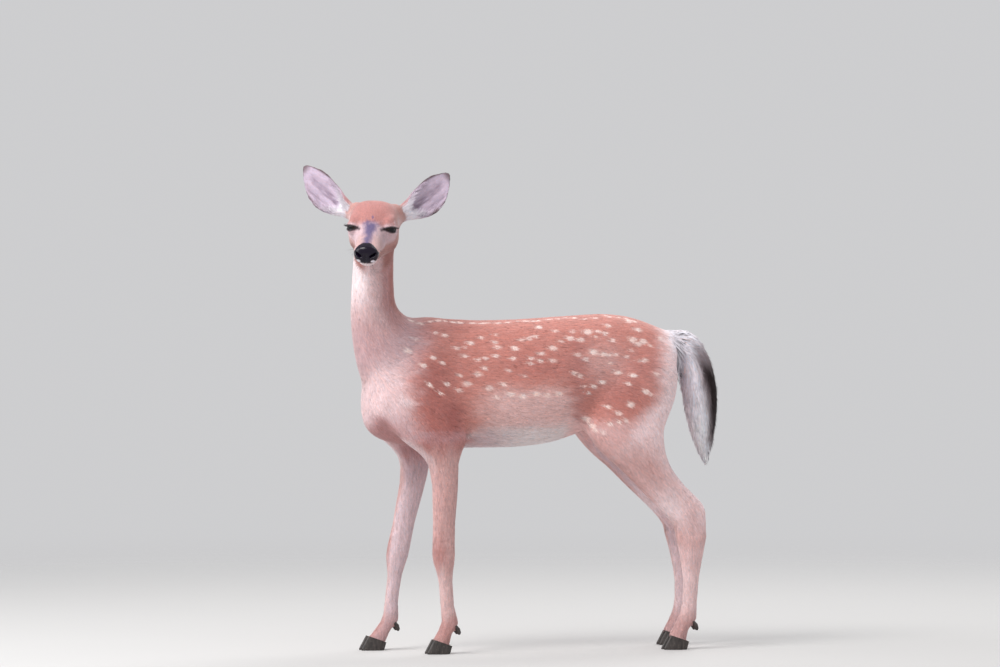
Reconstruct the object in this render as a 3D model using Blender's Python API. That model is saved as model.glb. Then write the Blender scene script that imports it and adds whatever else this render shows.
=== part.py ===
"""A white-tailed deer fawn, life size, standing square with its head turned to its left.

The body faces -X, its left side is -Y and the floor is z = 0, all in metres. Every form is
lofted through a few named sections out to the tips of the coat, the lofts are fused into one
skin, and thin plane cuts part that skin into head, neck, trunk, tail and legs. The ears, eyes,
hooves and dewclaws are solids of their own, let into the skin with a hairline gap.
"""

import math
from collections import namedtuple

import bmesh
import bpy
from mathutils import Matrix, Vector

# --- driving dimensions ------------------------------------------------------------------

GAP = 0.0004  # left between pieces that touch
CORNER = 1.7  # how much further a box's corner goes than its faces
TAIL_CUT_HALF = 0.0435  # half width of the cut round the tail
KNEE_CUT = 0.198  # height of the cut through the carpus
HOCK_CUT = 0.243  # height of the cut through the hock
ELBOW_CUT = 0.452  # height of the cut that takes the foreleg off the trunk
BEHIND_ELBOW = -0.145  # where that cut ends behind the leg
BRISKET_HALF = 0.036  # half width of the brisket left between the forelegs
SHOULDER_PIVOT = 0.50  # height that the forelegs swing from
HIP_PIVOT = 0.60  # height that the hind legs swing from
FORE_SWING = {"left": 0.0, "right": -0.105}  # how far each forefoot is set off, + is back
HIND_SWING = {"left": 0.0, "right": 0.030}

HEAD_ORIGIN = Vector((-0.3415, -0.045, 0.911))  # middle of the back of the skull
HEAD_TURN = math.radians(68.5)  # to its left, from straight ahead
HEAD_PITCH = math.radians(22)  # nose below level
HEAD_ROLL = math.radians(-3)  # left side lower

EYE_AT = Vector((0.1030, 0.0355, 0.0180))  # the left eye in the head's own axes
EYE_RADIUS = 0.0145
EAR_ROOT = Vector((0.032, 0.040, 0.012))  # the left ear's root in the head's own axes
EAR_LENGTH = 0.158
EAR_SPREAD = {"left": math.radians(50), "right": math.radians(49)}  # from upright
EAR_BACK = {"left": math.radians(24), "right": math.radians(8)}  # swept back
EAR_FACING = 0.22  # how far the ears open outwards, against 1 ahead
EAR_BEND = 0.012  # how far the tip leans back from the opening
EAR_RIM = 0.34  # the rim's thickness, as a share of the wall's
EAR_POINTS = 8  # across the blade, on each face

NOSE_AT = (0.1945, 0, 0.001)  # the nose pad in the head's own axes
NOSE_RADII = (0.0125, 0.0265, 0.0175)

THROAT_CUT_AT = Vector((0.030, 0, -0.064))  # on the plane across the top of the neck
THROAT_CUT_LEAN = math.radians(31)
NECK_CUT_AT = Vector((-0.283, 0, 0.700))  # on the plane from the withers to the breast
NECK_CUT_LEAN = math.radians(-52)
TAIL_CUT_AT = Vector((0.322, 0, 0.600))  # on the plane across the root of the tail
TAIL_CUT_LEAN = math.radians(-9)
TAIL_CUT_BELOW = 0.225  # how far that plane goes down before it meets the thighs
FLANK_FOLD = (0.064, 0.455)  # x and height where the hind leg's upper edge starts
TAIL_ROOT = (0.345, 0.617)  # and where it ends
BEYOND = 0.60  # past everything, for a cutter's far side

BODY_VOXEL = 0.0052
BODY_POLISH = 3  # rounds of smoothing after the voxels
HEAD_POLISH = 9
JOIN_ROUNDS = 16  # rounds of smoothing where limbs run into the trunk
JOIN_LOW = (0.36, 0.46)  # heights between which that smoothing sets in
JOIN_HIGH = (0.72, 0.80)  # and between which it fades up the neck
JOIN_TAIL = 0.25  # its share on the tail
HEAD_VOXEL = 0.0030
BODY_TRIANGLES = 3650
HEAD_TRIANGLES = 2350  # of head and neck together; the cut keeps the head's share

SHARP = math.radians(50)  # edges steeper than this stay sharp
LEFT = Vector((0, -1, 0))
UP = Vector((0, 0, 1))
AHEAD = Vector((-1, 0, 0))
SIDES = {"left": 1, "right": -1}  # sign of the way from the midline along LEFT

# One cross-section: its middle, the two directions it spreads in, its half width, its reach
# each way along `front`, and how boxy its outline is (2 is an ellipse).
Section = namedtuple("Section", "at side front half ahead behind square")


# --- lofting -----------------------------------------------------------------------------


def outline(section, count):
    """The section's points, once round."""
    points = []
    power = 2 / section.square
    for i in range(count):
        angle = 2 * math.pi * i / count
        across = math.copysign(abs(math.sin(angle)) ** power, math.sin(angle))
        along = math.copysign(abs(math.cos(angle)) ** power, math.cos(angle))
        reach = section.ahead if along > 0 else section.behind
        points.append(
            section.at + section.side * section.half * across + section.front * reach * along
        )
    return points


def between(a, b, c, d, t):
    """Catmull-Rom from b to c, for numbers and vectors alike."""
    return (
        b * 2
        + (c - a) * t
        + (a * 2 - b * 5 + c * 4 - d) * t**2
        + (b * 3 - a - c * 3 + d) * t**3
    ) * 0.5


def refined(sections, steps):
    """The same sections with smooth ones put in between them."""
    ends = [sections[0], *sections, sections[-1]]
    made = []
    for i in range(len(sections) - 1):
        for k in range(steps):
            four = ends[i : i + 4]
            made.append(
                Section(*(between(*values, k / steps) for values in zip(*four)))
            )
    return [*made, sections[-1]]


def skinned(rings):
    """A closed mesh through rings of points, one list for each ring, with flat ends."""
    build = bmesh.new()
    loops = [[build.verts.new(p) for p in ring] for ring in rings]
    count = len(rings[0])
    for here, there in zip(loops, loops[1:]):
        for i in range(count):
            j = (i + 1) % count
            build.faces.new((here[i], here[j], there[j], there[i]))
    build.faces.new(loops[0])
    build.faces.new(reversed(loops[-1]))
    bmesh.ops.recalc_face_normals(build, faces=build.faces)
    mesh = bpy.data.meshes.new("loft")
    build.to_mesh(mesh)
    build.free()
    return mesh


def loft(sections, count=28, steps=4):
    return skinned([outline(s, count) for s in refined(sections, steps)])


def ball(at, radii, segments=24):
    """An ellipsoid, for a muscle or a bone under the skin."""
    build = bmesh.new()
    place = Matrix.Translation(at) @ Matrix.Diagonal((*radii, 1))
    bmesh.ops.create_uvsphere(
        build, u_segments=segments, v_segments=segments // 2, radius=1, matrix=place
    )
    mesh = bpy.data.meshes.new("ball")
    build.to_mesh(mesh)
    build.free()
    return mesh


# --- objects and modifiers ---------------------------------------------------------------


def added(name, mesh):
    made = bpy.data.objects.new(name, mesh)
    bpy.context.scene.collection.objects.link(made)
    return made


def settled(made):
    """Applies the object's modifiers."""
    bpy.context.view_layer.update()
    graph = bpy.context.evaluated_depsgraph_get()
    mesh = bpy.data.meshes.new_from_object(made.evaluated_get(graph))
    made.modifiers.clear()
    made.data = mesh
    return made


def fused(name, meshes, voxel, polish):
    """The meshes as one skin: voxels join them and smoothing fills the creases between."""
    build = bmesh.new()
    for mesh in meshes:
        build.from_mesh(mesh)
    joined = bpy.data.meshes.new(name)
    build.to_mesh(joined)
    build.free()
    made = added(name, joined)
    remesh = made.modifiers.new("remesh", "REMESH")
    remesh.mode = "VOXEL"
    remesh.voxel_size = voxel
    settled(made)
    smooth = made.modifiers.new("smooth", "SMOOTH")
    smooth.factor = 0.5
    smooth.iterations = polish
    return settled(made)


def blended(made, weight_of, rounds):
    """Smooths more where weight_of gives more, as where limbs run into the trunk."""
    group = made.vertex_groups.new(name="blend")
    for vertex in made.data.vertices:
        group.add([vertex.index], weight_of(vertex.co), "REPLACE")
    smooth = made.modifiers.new("blend", "SMOOTH")
    smooth.factor = 0.5
    smooth.iterations = rounds
    smooth.vertex_group = group.name
    settled(made)
    made.vertex_groups.clear()
    return made


def thinned(made, triangles):
    """The same skin in about this many triangles."""
    made.data.calc_loop_triangles()
    decimate = made.modifiers.new("thin", "DECIMATE")
    decimate.ratio = triangles / len(made.data.loop_triangles)
    decimate.use_collapse_triangulate = True
    return settled(made)


def block(low, high, place=None):
    """A box between two corners, as a cutter, turned and moved by place."""
    build = bmesh.new()
    size = Vector(high) - Vector(low)
    middle = (Vector(high) + Vector(low)) / 2
    matrix = Matrix.Translation(middle) @ Matrix.Diagonal((*size, 1))
    bmesh.ops.create_cube(build, size=1, matrix=(place or Matrix.Identity(4)) @ matrix)
    mesh = bpy.data.meshes.new("block")
    build.to_mesh(mesh)
    build.free()
    return mesh


def cut(made, mesh, operation="DIFFERENCE"):
    """Cuts one mesh from an object, or keeps only what they share."""
    cutter = added("cutter", mesh)
    cutter.hide_render = True
    cutter.display_type = "WIRE"
    boolean = made.modifiers.new("cut", "BOOLEAN")
    boolean.operation = operation
    boolean.object = cutter
    settled(made)
    bpy.data.objects.remove(cutter)
    return made


def grown(mesh, by):
    """A copy of a mesh pushed out along its normals."""
    copy = mesh.copy()
    for vertex, normal in zip(copy.vertices, [v.normal.copy() for v in mesh.vertices]):
        vertex.co += normal * by
    return copy


# --- trunk, neck and head ----------------------------------------------------------------


def trunk_loft():
    """Barrel, breast and croup: (x, top, bottom, half width, share of the height below the
    widest place, boxiness)."""
    rows = (
        (-0.364, 0.540, 0.492, 0.020, 0.50, 2.0),
        (-0.357, 0.580, 0.468, 0.044, 0.50, 2.0),
        (-0.335, 0.640, 0.447, 0.064, 0.50, 2.0),
        (-0.290, 0.690, 0.432, 0.078, 0.48, 2.0),
        (-0.235, 0.704, 0.426, 0.083, 0.48, 1.95),
        (-0.175, 0.699, 0.424, 0.087, 0.46, 2.0),
        (-0.105, 0.696, 0.424, 0.095, 0.46, 2.1),
        (-0.030, 0.697, 0.425, 0.102, 0.45, 2.15),
        (0.040, 0.701, 0.433, 0.101, 0.46, 2.15),
        (0.100, 0.705, 0.452, 0.094, 0.48, 2.1),
        (0.160, 0.7075, 0.480, 0.087, 0.50, 2.1),
        (0.215, 0.701, 0.510, 0.081, 0.50, 2.1),
        (0.265, 0.684, 0.535, 0.070, 0.50, 2.1),
        (0.300, 0.668, 0.565, 0.052, 0.50, 2.0),
        (0.318, 0.650, 0.600, 0.028, 0.50, 2.0),
    )
    return loft(
        [
            Section(
                Vector((x, 0, bottom + (top - bottom) * share)),
                LEFT,
                UP,
                half,
                (top - bottom) * (1 - share),
                (top - bottom) * share,
                square,
            )
            for x, top, bottom, half, share, square in rows
        ],
        count=40,
    )


def neck_loft():
    """From inside the chest up to the skull, twisting towards the head's turn: (middle, half
    width, reach to the nape, reach to the throat, twist in degrees)."""
    rows = (
        ((-0.225, 0.000, 0.560), 0.074, 0.100, 0.120, 0),
        ((-0.289, 0.000, 0.632), 0.066, 0.075, 0.100, 0),
        ((-0.335, -0.006, 0.700), 0.051, 0.051, 0.060, 6),
        ((-0.3445, -0.020, 0.757), 0.0455, 0.046, 0.050, 20),
        ((-0.3485, -0.038, 0.815), 0.0445, 0.043, 0.045, 40),
        ((-0.3500, -0.053, 0.862), 0.0435, 0.041, 0.040, 58),
        ((-0.354, -0.064, 0.892), 0.0380, 0.034, 0.036, 66),
    )
    middles = [Vector(row[0]) for row in rows]
    sections = []
    for i, (_, half, nape, throat, twist) in enumerate(rows):
        along = (middles[min(i + 1, len(rows) - 1)] - middles[max(i - 1, 0)]).normalized()
        side = Matrix.Rotation(math.radians(twist), 3, "Z") @ LEFT
        side = (side - along * side.dot(along)).normalized()
        sections.append(
            Section(middles[i], side, along.cross(side), half, nape, throat, 2.0)
        )
    return loft(sections, count=32)


def level(direction):
    return Vector((direction.x, direction.y, 0)).normalized()


def head_place():
    """From the head's own axes, +X to the nose, +Y left and +Z up, to the body's."""
    return (
        Matrix.Translation(HEAD_ORIGIN)
        @ Matrix.Rotation(math.pi + HEAD_TURN, 4, "Z")
        @ Matrix.Rotation(HEAD_PITCH, 4, "Y")
        @ Matrix.Rotation(HEAD_ROLL, 4, "X")
    )


def head_loft(rows):
    """(distance to the nose from the back of the skull, height of the middle, half width,
    reach up, reach down, boxiness)."""
    return loft(
        [
            Section(Vector((x, 0, z)), Vector((0, 1, 0)), UP, half, up, down, square)
            for x, z, half, up, down, square in rows
        ],
        count=32,
    )


def head_forms():
    """Skull and muzzle, lower jaw, and the paired forms of the face, as placed meshes."""
    skull = head_loft(
        (
            (-0.012, 0.000, 0.018, 0.016, 0.018, 2.0),
            (0.002, 0.000, 0.037, 0.032, 0.036, 2.0),
            (0.028, 0.000, 0.0485, 0.0490, 0.050, 2.7),
            (0.054, 0.000, 0.0520, 0.0575, 0.052, 2.8),
            (0.080, 0.000, 0.0525, 0.0540, 0.048, 2.55),
            (0.096, 0.000, 0.0475, 0.0480, 0.043, 2.35),
            (0.112, 0.000, 0.0370, 0.0395, 0.037, 2.25),
            (0.128, 0.000, 0.0300, 0.0312, 0.032, 2.2),
            (0.146, -0.001, 0.0272, 0.0268, 0.028, 2.2),
            (0.166, -0.002, 0.0270, 0.0242, 0.0255, 2.2),
            (0.185, -0.003, 0.0280, 0.0230, 0.0240, 2.3),
            (0.198, -0.004, 0.0260, 0.0200, 0.0205, 2.3),
            (0.2065, -0.005, 0.0170, 0.0125, 0.0130, 2.2),
        )
    )
    jaw = head_loft(
        (
            (0.020, -0.030, 0.026, 0.020, 0.020, 2.0),
            (0.045, -0.034, 0.0420, 0.022, 0.026, 2.0),
            (0.075, -0.034, 0.0385, 0.020, 0.026, 2.0),
            (0.105, -0.032, 0.0310, 0.016, 0.020, 2.0),
            (0.135, -0.0295, 0.0245, 0.013, 0.0150, 2.0),
            (0.160, -0.0275, 0.0205, 0.012, 0.0125, 2.1),
            (0.178, -0.0260, 0.0185, 0.010, 0.0110, 2.2),
            (0.188, -0.0250, 0.0130, 0.006, 0.0075, 2.0),
        )
    )
    forms = [skull, jaw, ball(NOSE_AT, NOSE_RADII)]
    for sign in SIDES.values():
        paired = (
            ((0.062, 0.033, -0.018), (0.036, 0.020, 0.032)),  # masseter
            ((0.076, 0.0395, 0.006), (0.031, 0.0165, 0.013)),  # cheekbone arch
            ((0.089, 0.0340, 0.0325), (0.024, 0.0145, 0.0095)),  # brow
            ((0.126, 0.020, -0.004), (0.028, 0.0130, 0.018)),  # upper jaw
            ((0.188, 0.0180, -0.001), (0.0125, 0.0105, 0.0130)),  # nostril wing
            ((0.031, 0.039, 0.016), (0.026, 0.021, 0.028)),  # ear's muscle
        )
        forms += [ball((x, y * sign, z), radii) for (x, y, z), radii in paired]
    for form in forms:
        form.transform(head_place())
    return forms


# --- legs --------------------------------------------------------------------------------


def leg_loft(rows, side, swing, pivot):
    """Level sections down a leg: (height, front edge, back edge, middle's distance from the
    midline, half width), swung from the pivot height down."""
    sections = []
    for z, front, back, out, half in rows:
        off = swing * max(0.0, pivot - z) / pivot
        at = Vector(((front + back) / 2 + off, 0, z)) + LEFT * out * SIDES[side]
        reach = (back - front) / 2
        sections.append(Section(at, LEFT, AHEAD, half, reach, reach, 2.1))
    return loft(sections, count=24)


FORE_ROWS = (
    (0.690, -0.240, -0.196, 0.030, 0.010),
    (0.665, -0.262, -0.182, 0.040, 0.021),
    (0.620, -0.292, -0.176, 0.050, 0.030),
    (0.570, -0.322, -0.174, 0.057, 0.034),
    (0.525, -0.338, -0.166, 0.062, 0.036),
    (0.485, -0.330, -0.158, 0.066, 0.036),
    (0.450, -0.304, -0.158, 0.071, 0.035),
    (0.425, -0.270, -0.164, 0.074, 0.032),
    (0.399, -0.245, -0.1735, 0.0755, 0.0285),
    (0.357, -0.2345, -0.1750, 0.0755, 0.0245),
    (0.315, -0.2330, -0.1775, 0.0750, 0.0215),
    (0.273, -0.2320, -0.1810, 0.0740, 0.0195),
    (0.235, -0.2325, -0.1815, 0.0730, 0.0200),
    (0.206, -0.2330, -0.1810, 0.0730, 0.0215),
    (0.186, -0.2275, -0.1845, 0.0730, 0.0195),
    (0.166, -0.2215, -0.1865, 0.0730, 0.0160),
    (0.140, -0.2170, -0.1870, 0.0730, 0.0140),
    (0.100, -0.2140, -0.1835, 0.0730, 0.0138),
    (0.078, -0.2120, -0.1780, 0.0730, 0.0158),
    (0.062, -0.2130, -0.1760, 0.0730, 0.0178),
    (0.044, -0.2210, -0.1880, 0.0730, 0.0172),
    (0.030, -0.2300, -0.1920, 0.0730, 0.0192),
    (0.012, -0.2400, -0.1960, 0.0730, 0.0200),
)
HIND_ROWS = (
    (0.665, 0.170, 0.270, 0.038, 0.022),
    (0.620, 0.145, 0.300, 0.050, 0.037),
    (0.575, 0.125, 0.310, 0.056, 0.045),
    (0.525, 0.106, 0.302, 0.060, 0.047),
    (0.490, 0.096, 0.287, 0.0625, 0.046),
    (0.462, 0.098, 0.276, 0.0650, 0.043),
    (0.440, 0.112, 0.276, 0.0670, 0.040),
    (0.420, 0.128, 0.2775, 0.0685, 0.037),
    (0.400, 0.149, 0.283, 0.0700, 0.034),
    (0.380, 0.173, 0.292, 0.0710, 0.031),
    (0.350, 0.203, 0.315, 0.0720, 0.0265),
    (0.321, 0.232, 0.345, 0.0720, 0.0240),
    (0.300, 0.254, 0.3625, 0.0720, 0.0225),
    (0.2625, 0.287, 0.3665, 0.0720, 0.0210),
    (0.229, 0.2985, 0.3640, 0.0720, 0.0200),
    (0.195, 0.3060, 0.3570, 0.0720, 0.0175),
    (0.165, 0.3110, 0.3510, 0.0715, 0.0155),
    (0.135, 0.3135, 0.3480, 0.0710, 0.0145),
    (0.100, 0.3115, 0.3450, 0.0705, 0.0142),
    (0.078, 0.3070, 0.3450, 0.0700, 0.0160),
    (0.062, 0.3010, 0.3420, 0.0700, 0.0180),
    (0.044, 0.2910, 0.3270, 0.0700, 0.0172),
    (0.030, 0.2820, 0.3240, 0.0700, 0.0192),
    (0.012, 0.2720, 0.3200, 0.0700, 0.0200),
)

# Where each pair of legs stands: its rows, its swings, their pivot, and the feet's middle.
Pair = namedtuple("Pair", "rows swings pivot toe heel out dew_x")
PAIRS = {
    "fore": Pair(FORE_ROWS, FORE_SWING, SHOULDER_PIVOT, -0.2455, -0.1955, 0.073, -0.1800),
    "hind": Pair(HIND_ROWS, HIND_SWING, HIP_PIVOT, 0.2690, 0.3200, 0.070, 0.3375),
}
CORONET_FRONT, CORONET_BACK = 0.036, 0.018  # height of the hoof's top edge at each end
CLAW_HALF = 0.0094  # half width of one claw
CLAW_POINTS = 14  # round one claw
CLAW_SPREAD = 0.0108  # from the foot's middle to a claw's
FOOT_REACH = 0.08  # a cutter's reach round one foot
DEW_HEIGHT = 0.050
DEW_SPREAD = 0.0100


def claw_loft(pair, side, sign):
    """One claw of a cloven hoof, flat underneath, pointed ahead and leaning with the foot."""
    foot = PAIRS[pair]
    off = foot.swings[side]
    middle = (foot.toe + foot.heel) / 2 + off
    length = foot.heel - foot.toe
    out = foot.out * SIDES[side] + CLAW_SPREAD * sign
    rings = []
    for z, share, lean in ((0, 0.97, 0), (0.004, 1.0, 0.001), (0.045, 0.78, 0.018)):
        ring = []
        for i in range(CLAW_POINTS):
            angle = 2 * math.pi * i / CLAW_POINTS
            ahead = math.cos(angle)
            across = math.sin(angle) * (1 - 0.42 * ahead)
            x = middle + lean - ahead * share * length / 2
            ring.append(Vector((x, 0, z)) + LEFT * (out + across * CLAW_HALF * share))
        rings.append(ring)
    return skinned(rings)


def dewclaw_loft(pair, side, sign):
    """A small blunt claw behind the fetlock, pointing down and back."""
    foot = PAIRS[pair]
    off = foot.swings[side] * (1 - DEW_HEIGHT / foot.pivot)
    at = Vector((foot.dew_x + off, 0, DEW_HEIGHT)) + LEFT * (
        foot.out * SIDES[side] + DEW_SPREAD * sign
    )
    sections = [
        Section(at + Vector((x, 0, z)), LEFT, AHEAD, half, half, half, 2.0)
        for x, z, half in (
            (-0.0035, 0.0090, 0.0036),
            (0.0000, 0.0030, 0.0056),
            (0.0030, -0.0055, 0.0048),
            (0.0040, -0.0100, 0.0022),
        )
    ]
    return loft(sections, count=7, steps=1)


# --- tail, ears and eyes -----------------------------------------------------------------


def tail_loft():
    """Down from the croup: (middle's x and height, half width, reach to the underside, reach
    to the back)."""
    rows = (
        (0.282, 0.648, 0.026, 0.018, 0.018),
        (0.312, 0.655, 0.032, 0.022, 0.018),
        (0.338, 0.643, 0.036, 0.030, 0.026),
        (0.355, 0.612, 0.039, 0.035, 0.032),
        (0.365, 0.575, 0.041, 0.037, 0.036),
        (0.371, 0.530, 0.041, 0.036, 0.037),
        (0.374, 0.488, 0.037, 0.031, 0.033),
        (0.377, 0.450, 0.030, 0.024, 0.025),
        (0.380, 0.418, 0.020, 0.014, 0.017),
        (0.384, 0.393, 0.010, 0.007, 0.008),
        (0.386, 0.383, 0.004, 0.003, 0.003),
    )
    middles = [Vector((x, 0, z)) for x, z, *_ in rows]
    sections = []
    for i, (_, _, half, under, back) in enumerate(rows):
        along = (middles[min(i + 1, len(rows) - 1)] - middles[max(i - 1, 0)]).normalized()
        sections.append(
            Section(middles[i], LEFT, along.cross(LEFT), half, under, back, 2.0)
        )
    return loft(sections, count=24)


def ear_place(side):
    """From an ear's own axes, +X to the tip, +Y inwards and +Z the way it opens."""
    sign = SIDES[side]
    head = head_place().to_3x3()
    out = level(head @ Vector((0, sign, 0)))
    nose = level(head @ Vector((1, 0, 0)))
    rise = UP * math.cos(EAR_SPREAD[side]) + out * math.sin(EAR_SPREAD[side])
    along = rise * math.cos(EAR_BACK[side]) - nose * math.sin(EAR_BACK[side])
    opening = nose + out * EAR_FACING
    opening = (opening - along * opening.dot(along)).normalized()
    across = opening.cross(along) * sign
    root = head_place() @ Vector((EAR_ROOT.x, EAR_ROOT.y * sign, EAR_ROOT.z))
    turn = Matrix((along, across, opening)).transposed().to_4x4()
    return Matrix.Translation(root) @ turn


def ear_loft(side):
    """A cupped leaf on a round stalk: (share of the length, half width of the blade, its
    shift to the outer side, depth of the cup, thickness of the wall)."""
    rows = (
        (0.00, 0.0140, 0.0000, 0.0120, 0.0240),
        (0.16, 0.0190, 0.0040, 0.0150, 0.0280),
        (0.24, 0.0230, 0.0075, 0.0170, 0.0230),
        (0.31, 0.0265, 0.0100, 0.0180, 0.0130),
        (0.40, 0.0316, 0.0110, 0.0175, 0.0080),
        (0.52, 0.0344, 0.0114, 0.0155, 0.0062),
        (0.65, 0.0339, 0.0090, 0.0125, 0.0056),
        (0.77, 0.0286, 0.0052, 0.0090, 0.0052),
        (0.88, 0.0185, 0.0025, 0.0055, 0.0046),
        (0.96, 0.0098, -0.0003, 0.0025, 0.0038),
        (1.00, 0.0030, -0.0015, 0.0008, 0.0026),
    )
    rings = []
    for share, half, shift, cup, wall in rows:
        back, inside = [], []
        for i in range(EAR_POINTS):
            turn = (i / (EAR_POINTS - 1) - 0.5) * math.pi
            depth = -cup * math.cos(turn) - EAR_BEND * share**2
            thick = wall * max(EAR_RIM, math.sqrt(math.cos(turn)))
            inner = (half - EAR_RIM * wall) * math.sin(turn) - shift
            back.append(Vector((share * EAR_LENGTH, half * math.sin(turn) - shift, depth)))
            inside.append(Vector((share * EAR_LENGTH, inner, depth + thick)))
        rings.append(back + inside[::-1])
    mesh = skinned(rings)
    place = ear_place(side)
    mesh.transform(place)
    if place.determinant() < 0:
        mesh.flip_normals()
    return mesh


def eye_ball(side, extra=0.0):
    at = Vector((EYE_AT.x, EYE_AT.y * SIDES[side], EYE_AT.z))
    radius = EYE_RADIUS + extra
    mesh = ball(at, (radius, radius, radius), segments=14)
    mesh.transform(head_place())
    return mesh


# --- cutters -----------------------------------------------------------------------------


def throat_cut(extra=0.0):
    """Everything on the head's side of a plane across the top of the neck."""
    place = head_place() @ Matrix.Translation(THROAT_CUT_AT)
    place = place @ Matrix.Rotation(THROAT_CUT_LEAN, 4, "Y")
    return block((-BEYOND, -BEYOND, -extra), (BEYOND, BEYOND, BEYOND), place)


def neck_cut(extra=0.0):
    """Everything above a plane that leans from the withers down to the breast."""
    place = Matrix.Translation(NECK_CUT_AT) @ Matrix.Rotation(NECK_CUT_LEAN, 4, "Y")
    return block((-BEYOND, -BEYOND, -extra), (BEYOND / 2, BEYOND, BEYOND), place)


def tail_cut(extra=0.0):
    """Everything behind a plane across the root of the tail."""
    place = Matrix.Translation(TAIL_CUT_AT) @ Matrix.Rotation(TAIL_CUT_LEAN, 4, "Y")
    half = TAIL_CUT_HALF + extra
    return block((-extra, -half, -TAIL_CUT_BELOW), (BEYOND, half, BEYOND), place)


def foreleg_cut(side, extra=0.0):
    """Below the elbow, on one side of the brisket and ahead of the belly."""
    near, far = sorted(-out * SIDES[side] for out in (BRISKET_HALF - extra, BEYOND))
    return block((-BEYOND, near, -BEYOND), (BEHIND_ELBOW + extra, far, ELBOW_CUT + extra))


def hindleg_cut(side, extra=0.0):
    """Below a line that climbs from the flank fold to the root of the tail, on one side."""
    below = (FLANK_FOLD[0], -BEYOND)
    behind = (BEYOND, TAIL_ROOT[1])
    profile = (below, FLANK_FOLD, TAIL_ROOT, behind, (BEYOND, -BEYOND))
    near, far = -GAP / 2 * SIDES[side], -BEYOND * SIDES[side]
    rings = [[Vector((x, y, z)) for x, z in profile] for y in (near, far)]
    return grown(skinned(rings), extra * CORNER)


def lower_cut(height, extra=0.0):
    return block((-BEYOND, -BEYOND, -BEYOND), (BEYOND, BEYOND, height + extra))


def coronet_cut(pair, side, extra=0.0):
    """Below the sloping top edge of one foot's hooves."""
    foot = PAIRS[pair]
    off = foot.swings[side]
    slope = math.atan2(CORONET_FRONT - CORONET_BACK, foot.heel - foot.toe)
    middle = Vector(((foot.toe + foot.heel) / 2 + off, 0, (CORONET_FRONT + CORONET_BACK) / 2))
    place = Matrix.Translation(middle) @ Matrix.Rotation(slope, 4, "Y")
    ends = sorted((0.0, -BEYOND * SIDES[side]))
    return block((-FOOT_REACH, ends[0], -FOOT_REACH), (FOOT_REACH, ends[1], extra), place)


# --- materials ---------------------------------------------------------------------------


def finish(name, colour, roughness):
    made = bpy.data.materials.new(name)
    made.use_nodes = True
    shader = made.node_tree.nodes["Principled BSDF"]
    shader.inputs["Base Color"].default_value = (*colour, 1)
    shader.inputs["Roughness"].default_value = roughness
    made.diffuse_color = (*colour, 1)
    return made


def finishes():
    return {
        "coat": finish("coat", (0.46, 0.20, 0.12), 0.85),
        "tail_hair": finish("tail_hair", (0.78, 0.74, 0.72), 0.9),
        "ear_skin": finish("ear_skin", (0.62, 0.48, 0.46), 0.8),
        "eye": finish("eye", (0.015, 0.010, 0.010), 0.08),
        "hoof": finish("hoof", (0.03, 0.026, 0.024), 0.45),
    }


# --- assembly ----------------------------------------------------------------------------


def copy_of(made, name):
    return added(name, made.data.copy())


def junction_weight(point):
    """1 where limbs and neck run into the trunk, 0 on the lower legs and the head."""
    low = min(1.0, max(0.0, (point.z - JOIN_LOW[0]) / (JOIN_LOW[1] - JOIN_LOW[0])))
    high = min(1.0, max(0.0, (JOIN_HIGH[1] - point.z) / (JOIN_HIGH[1] - JOIN_HIGH[0])))
    tail = 1.0 if point.x < TAIL_CUT_AT.x else JOIN_TAIL
    return low * high * tail


def body_skin():
    """Trunk, neck, legs and tail as one fine mesh."""
    forms = [trunk_loft(), neck_loft(), tail_loft()]
    for side, sign in SIDES.items():
        for pair in PAIRS.values():
            forms.append(leg_loft(pair.rows, side, pair.swings[side], pair.pivot))
        forms += [
            ball(Vector((0.118, -0.052 * sign, 0.658)), (0.036, 0.022, 0.024)),  # hip bone
            ball(Vector((0.288, -0.042 * sign, 0.618)), (0.026, 0.024, 0.030)),  # seat bone
            ball(Vector((0.135, -0.075 * sign, 0.478)), (0.034, 0.022, 0.036)),  # stifle
            ball(Vector((-0.178, -0.078 * sign, 0.450)), (0.024, 0.020, 0.026)),  # elbow
            ball(Vector((-0.322, -0.050 * sign, 0.520)), (0.034, 0.030, 0.040)),  # shoulder
        ]
    skin = fused("body_skin", forms, BODY_VOXEL, BODY_POLISH)
    blended(skin, junction_weight, JOIN_ROUNDS)
    return thinned(skin, BODY_TRIANGLES)


def head_skin():
    """Head and neck as one finer mesh."""
    skin = fused("head_skin", [*head_forms(), neck_loft()], HEAD_VOXEL, HEAD_POLISH)
    return thinned(skin, HEAD_TRIANGLES)


def make_head(skin):
    head = cut(copy_of(skin, "head"), throat_cut(), "INTERSECT")
    for side in SIDES:
        cut(head, eye_ball(side, GAP))
        added(f"eye_{side}", eye_ball(side))
        ear = added(f"ear_{side}", ear_loft(side))
        cut(ear, grown(skin.data, GAP))
    return head


def make_body(skin):
    neck = cut(copy_of(skin, "neck"), neck_cut(), "INTERSECT")
    cut(neck, throat_cut(GAP))
    tail = cut(copy_of(skin, "tail"), tail_cut(), "INTERSECT")
    trunk = cut(copy_of(skin, "trunk"), neck_cut(GAP))
    cut(trunk, tail_cut(GAP))
    for side in SIDES:
        cut(trunk, foreleg_cut(side, GAP))
        cut(trunk, hindleg_cut(side, GAP))
    return trunk


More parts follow.
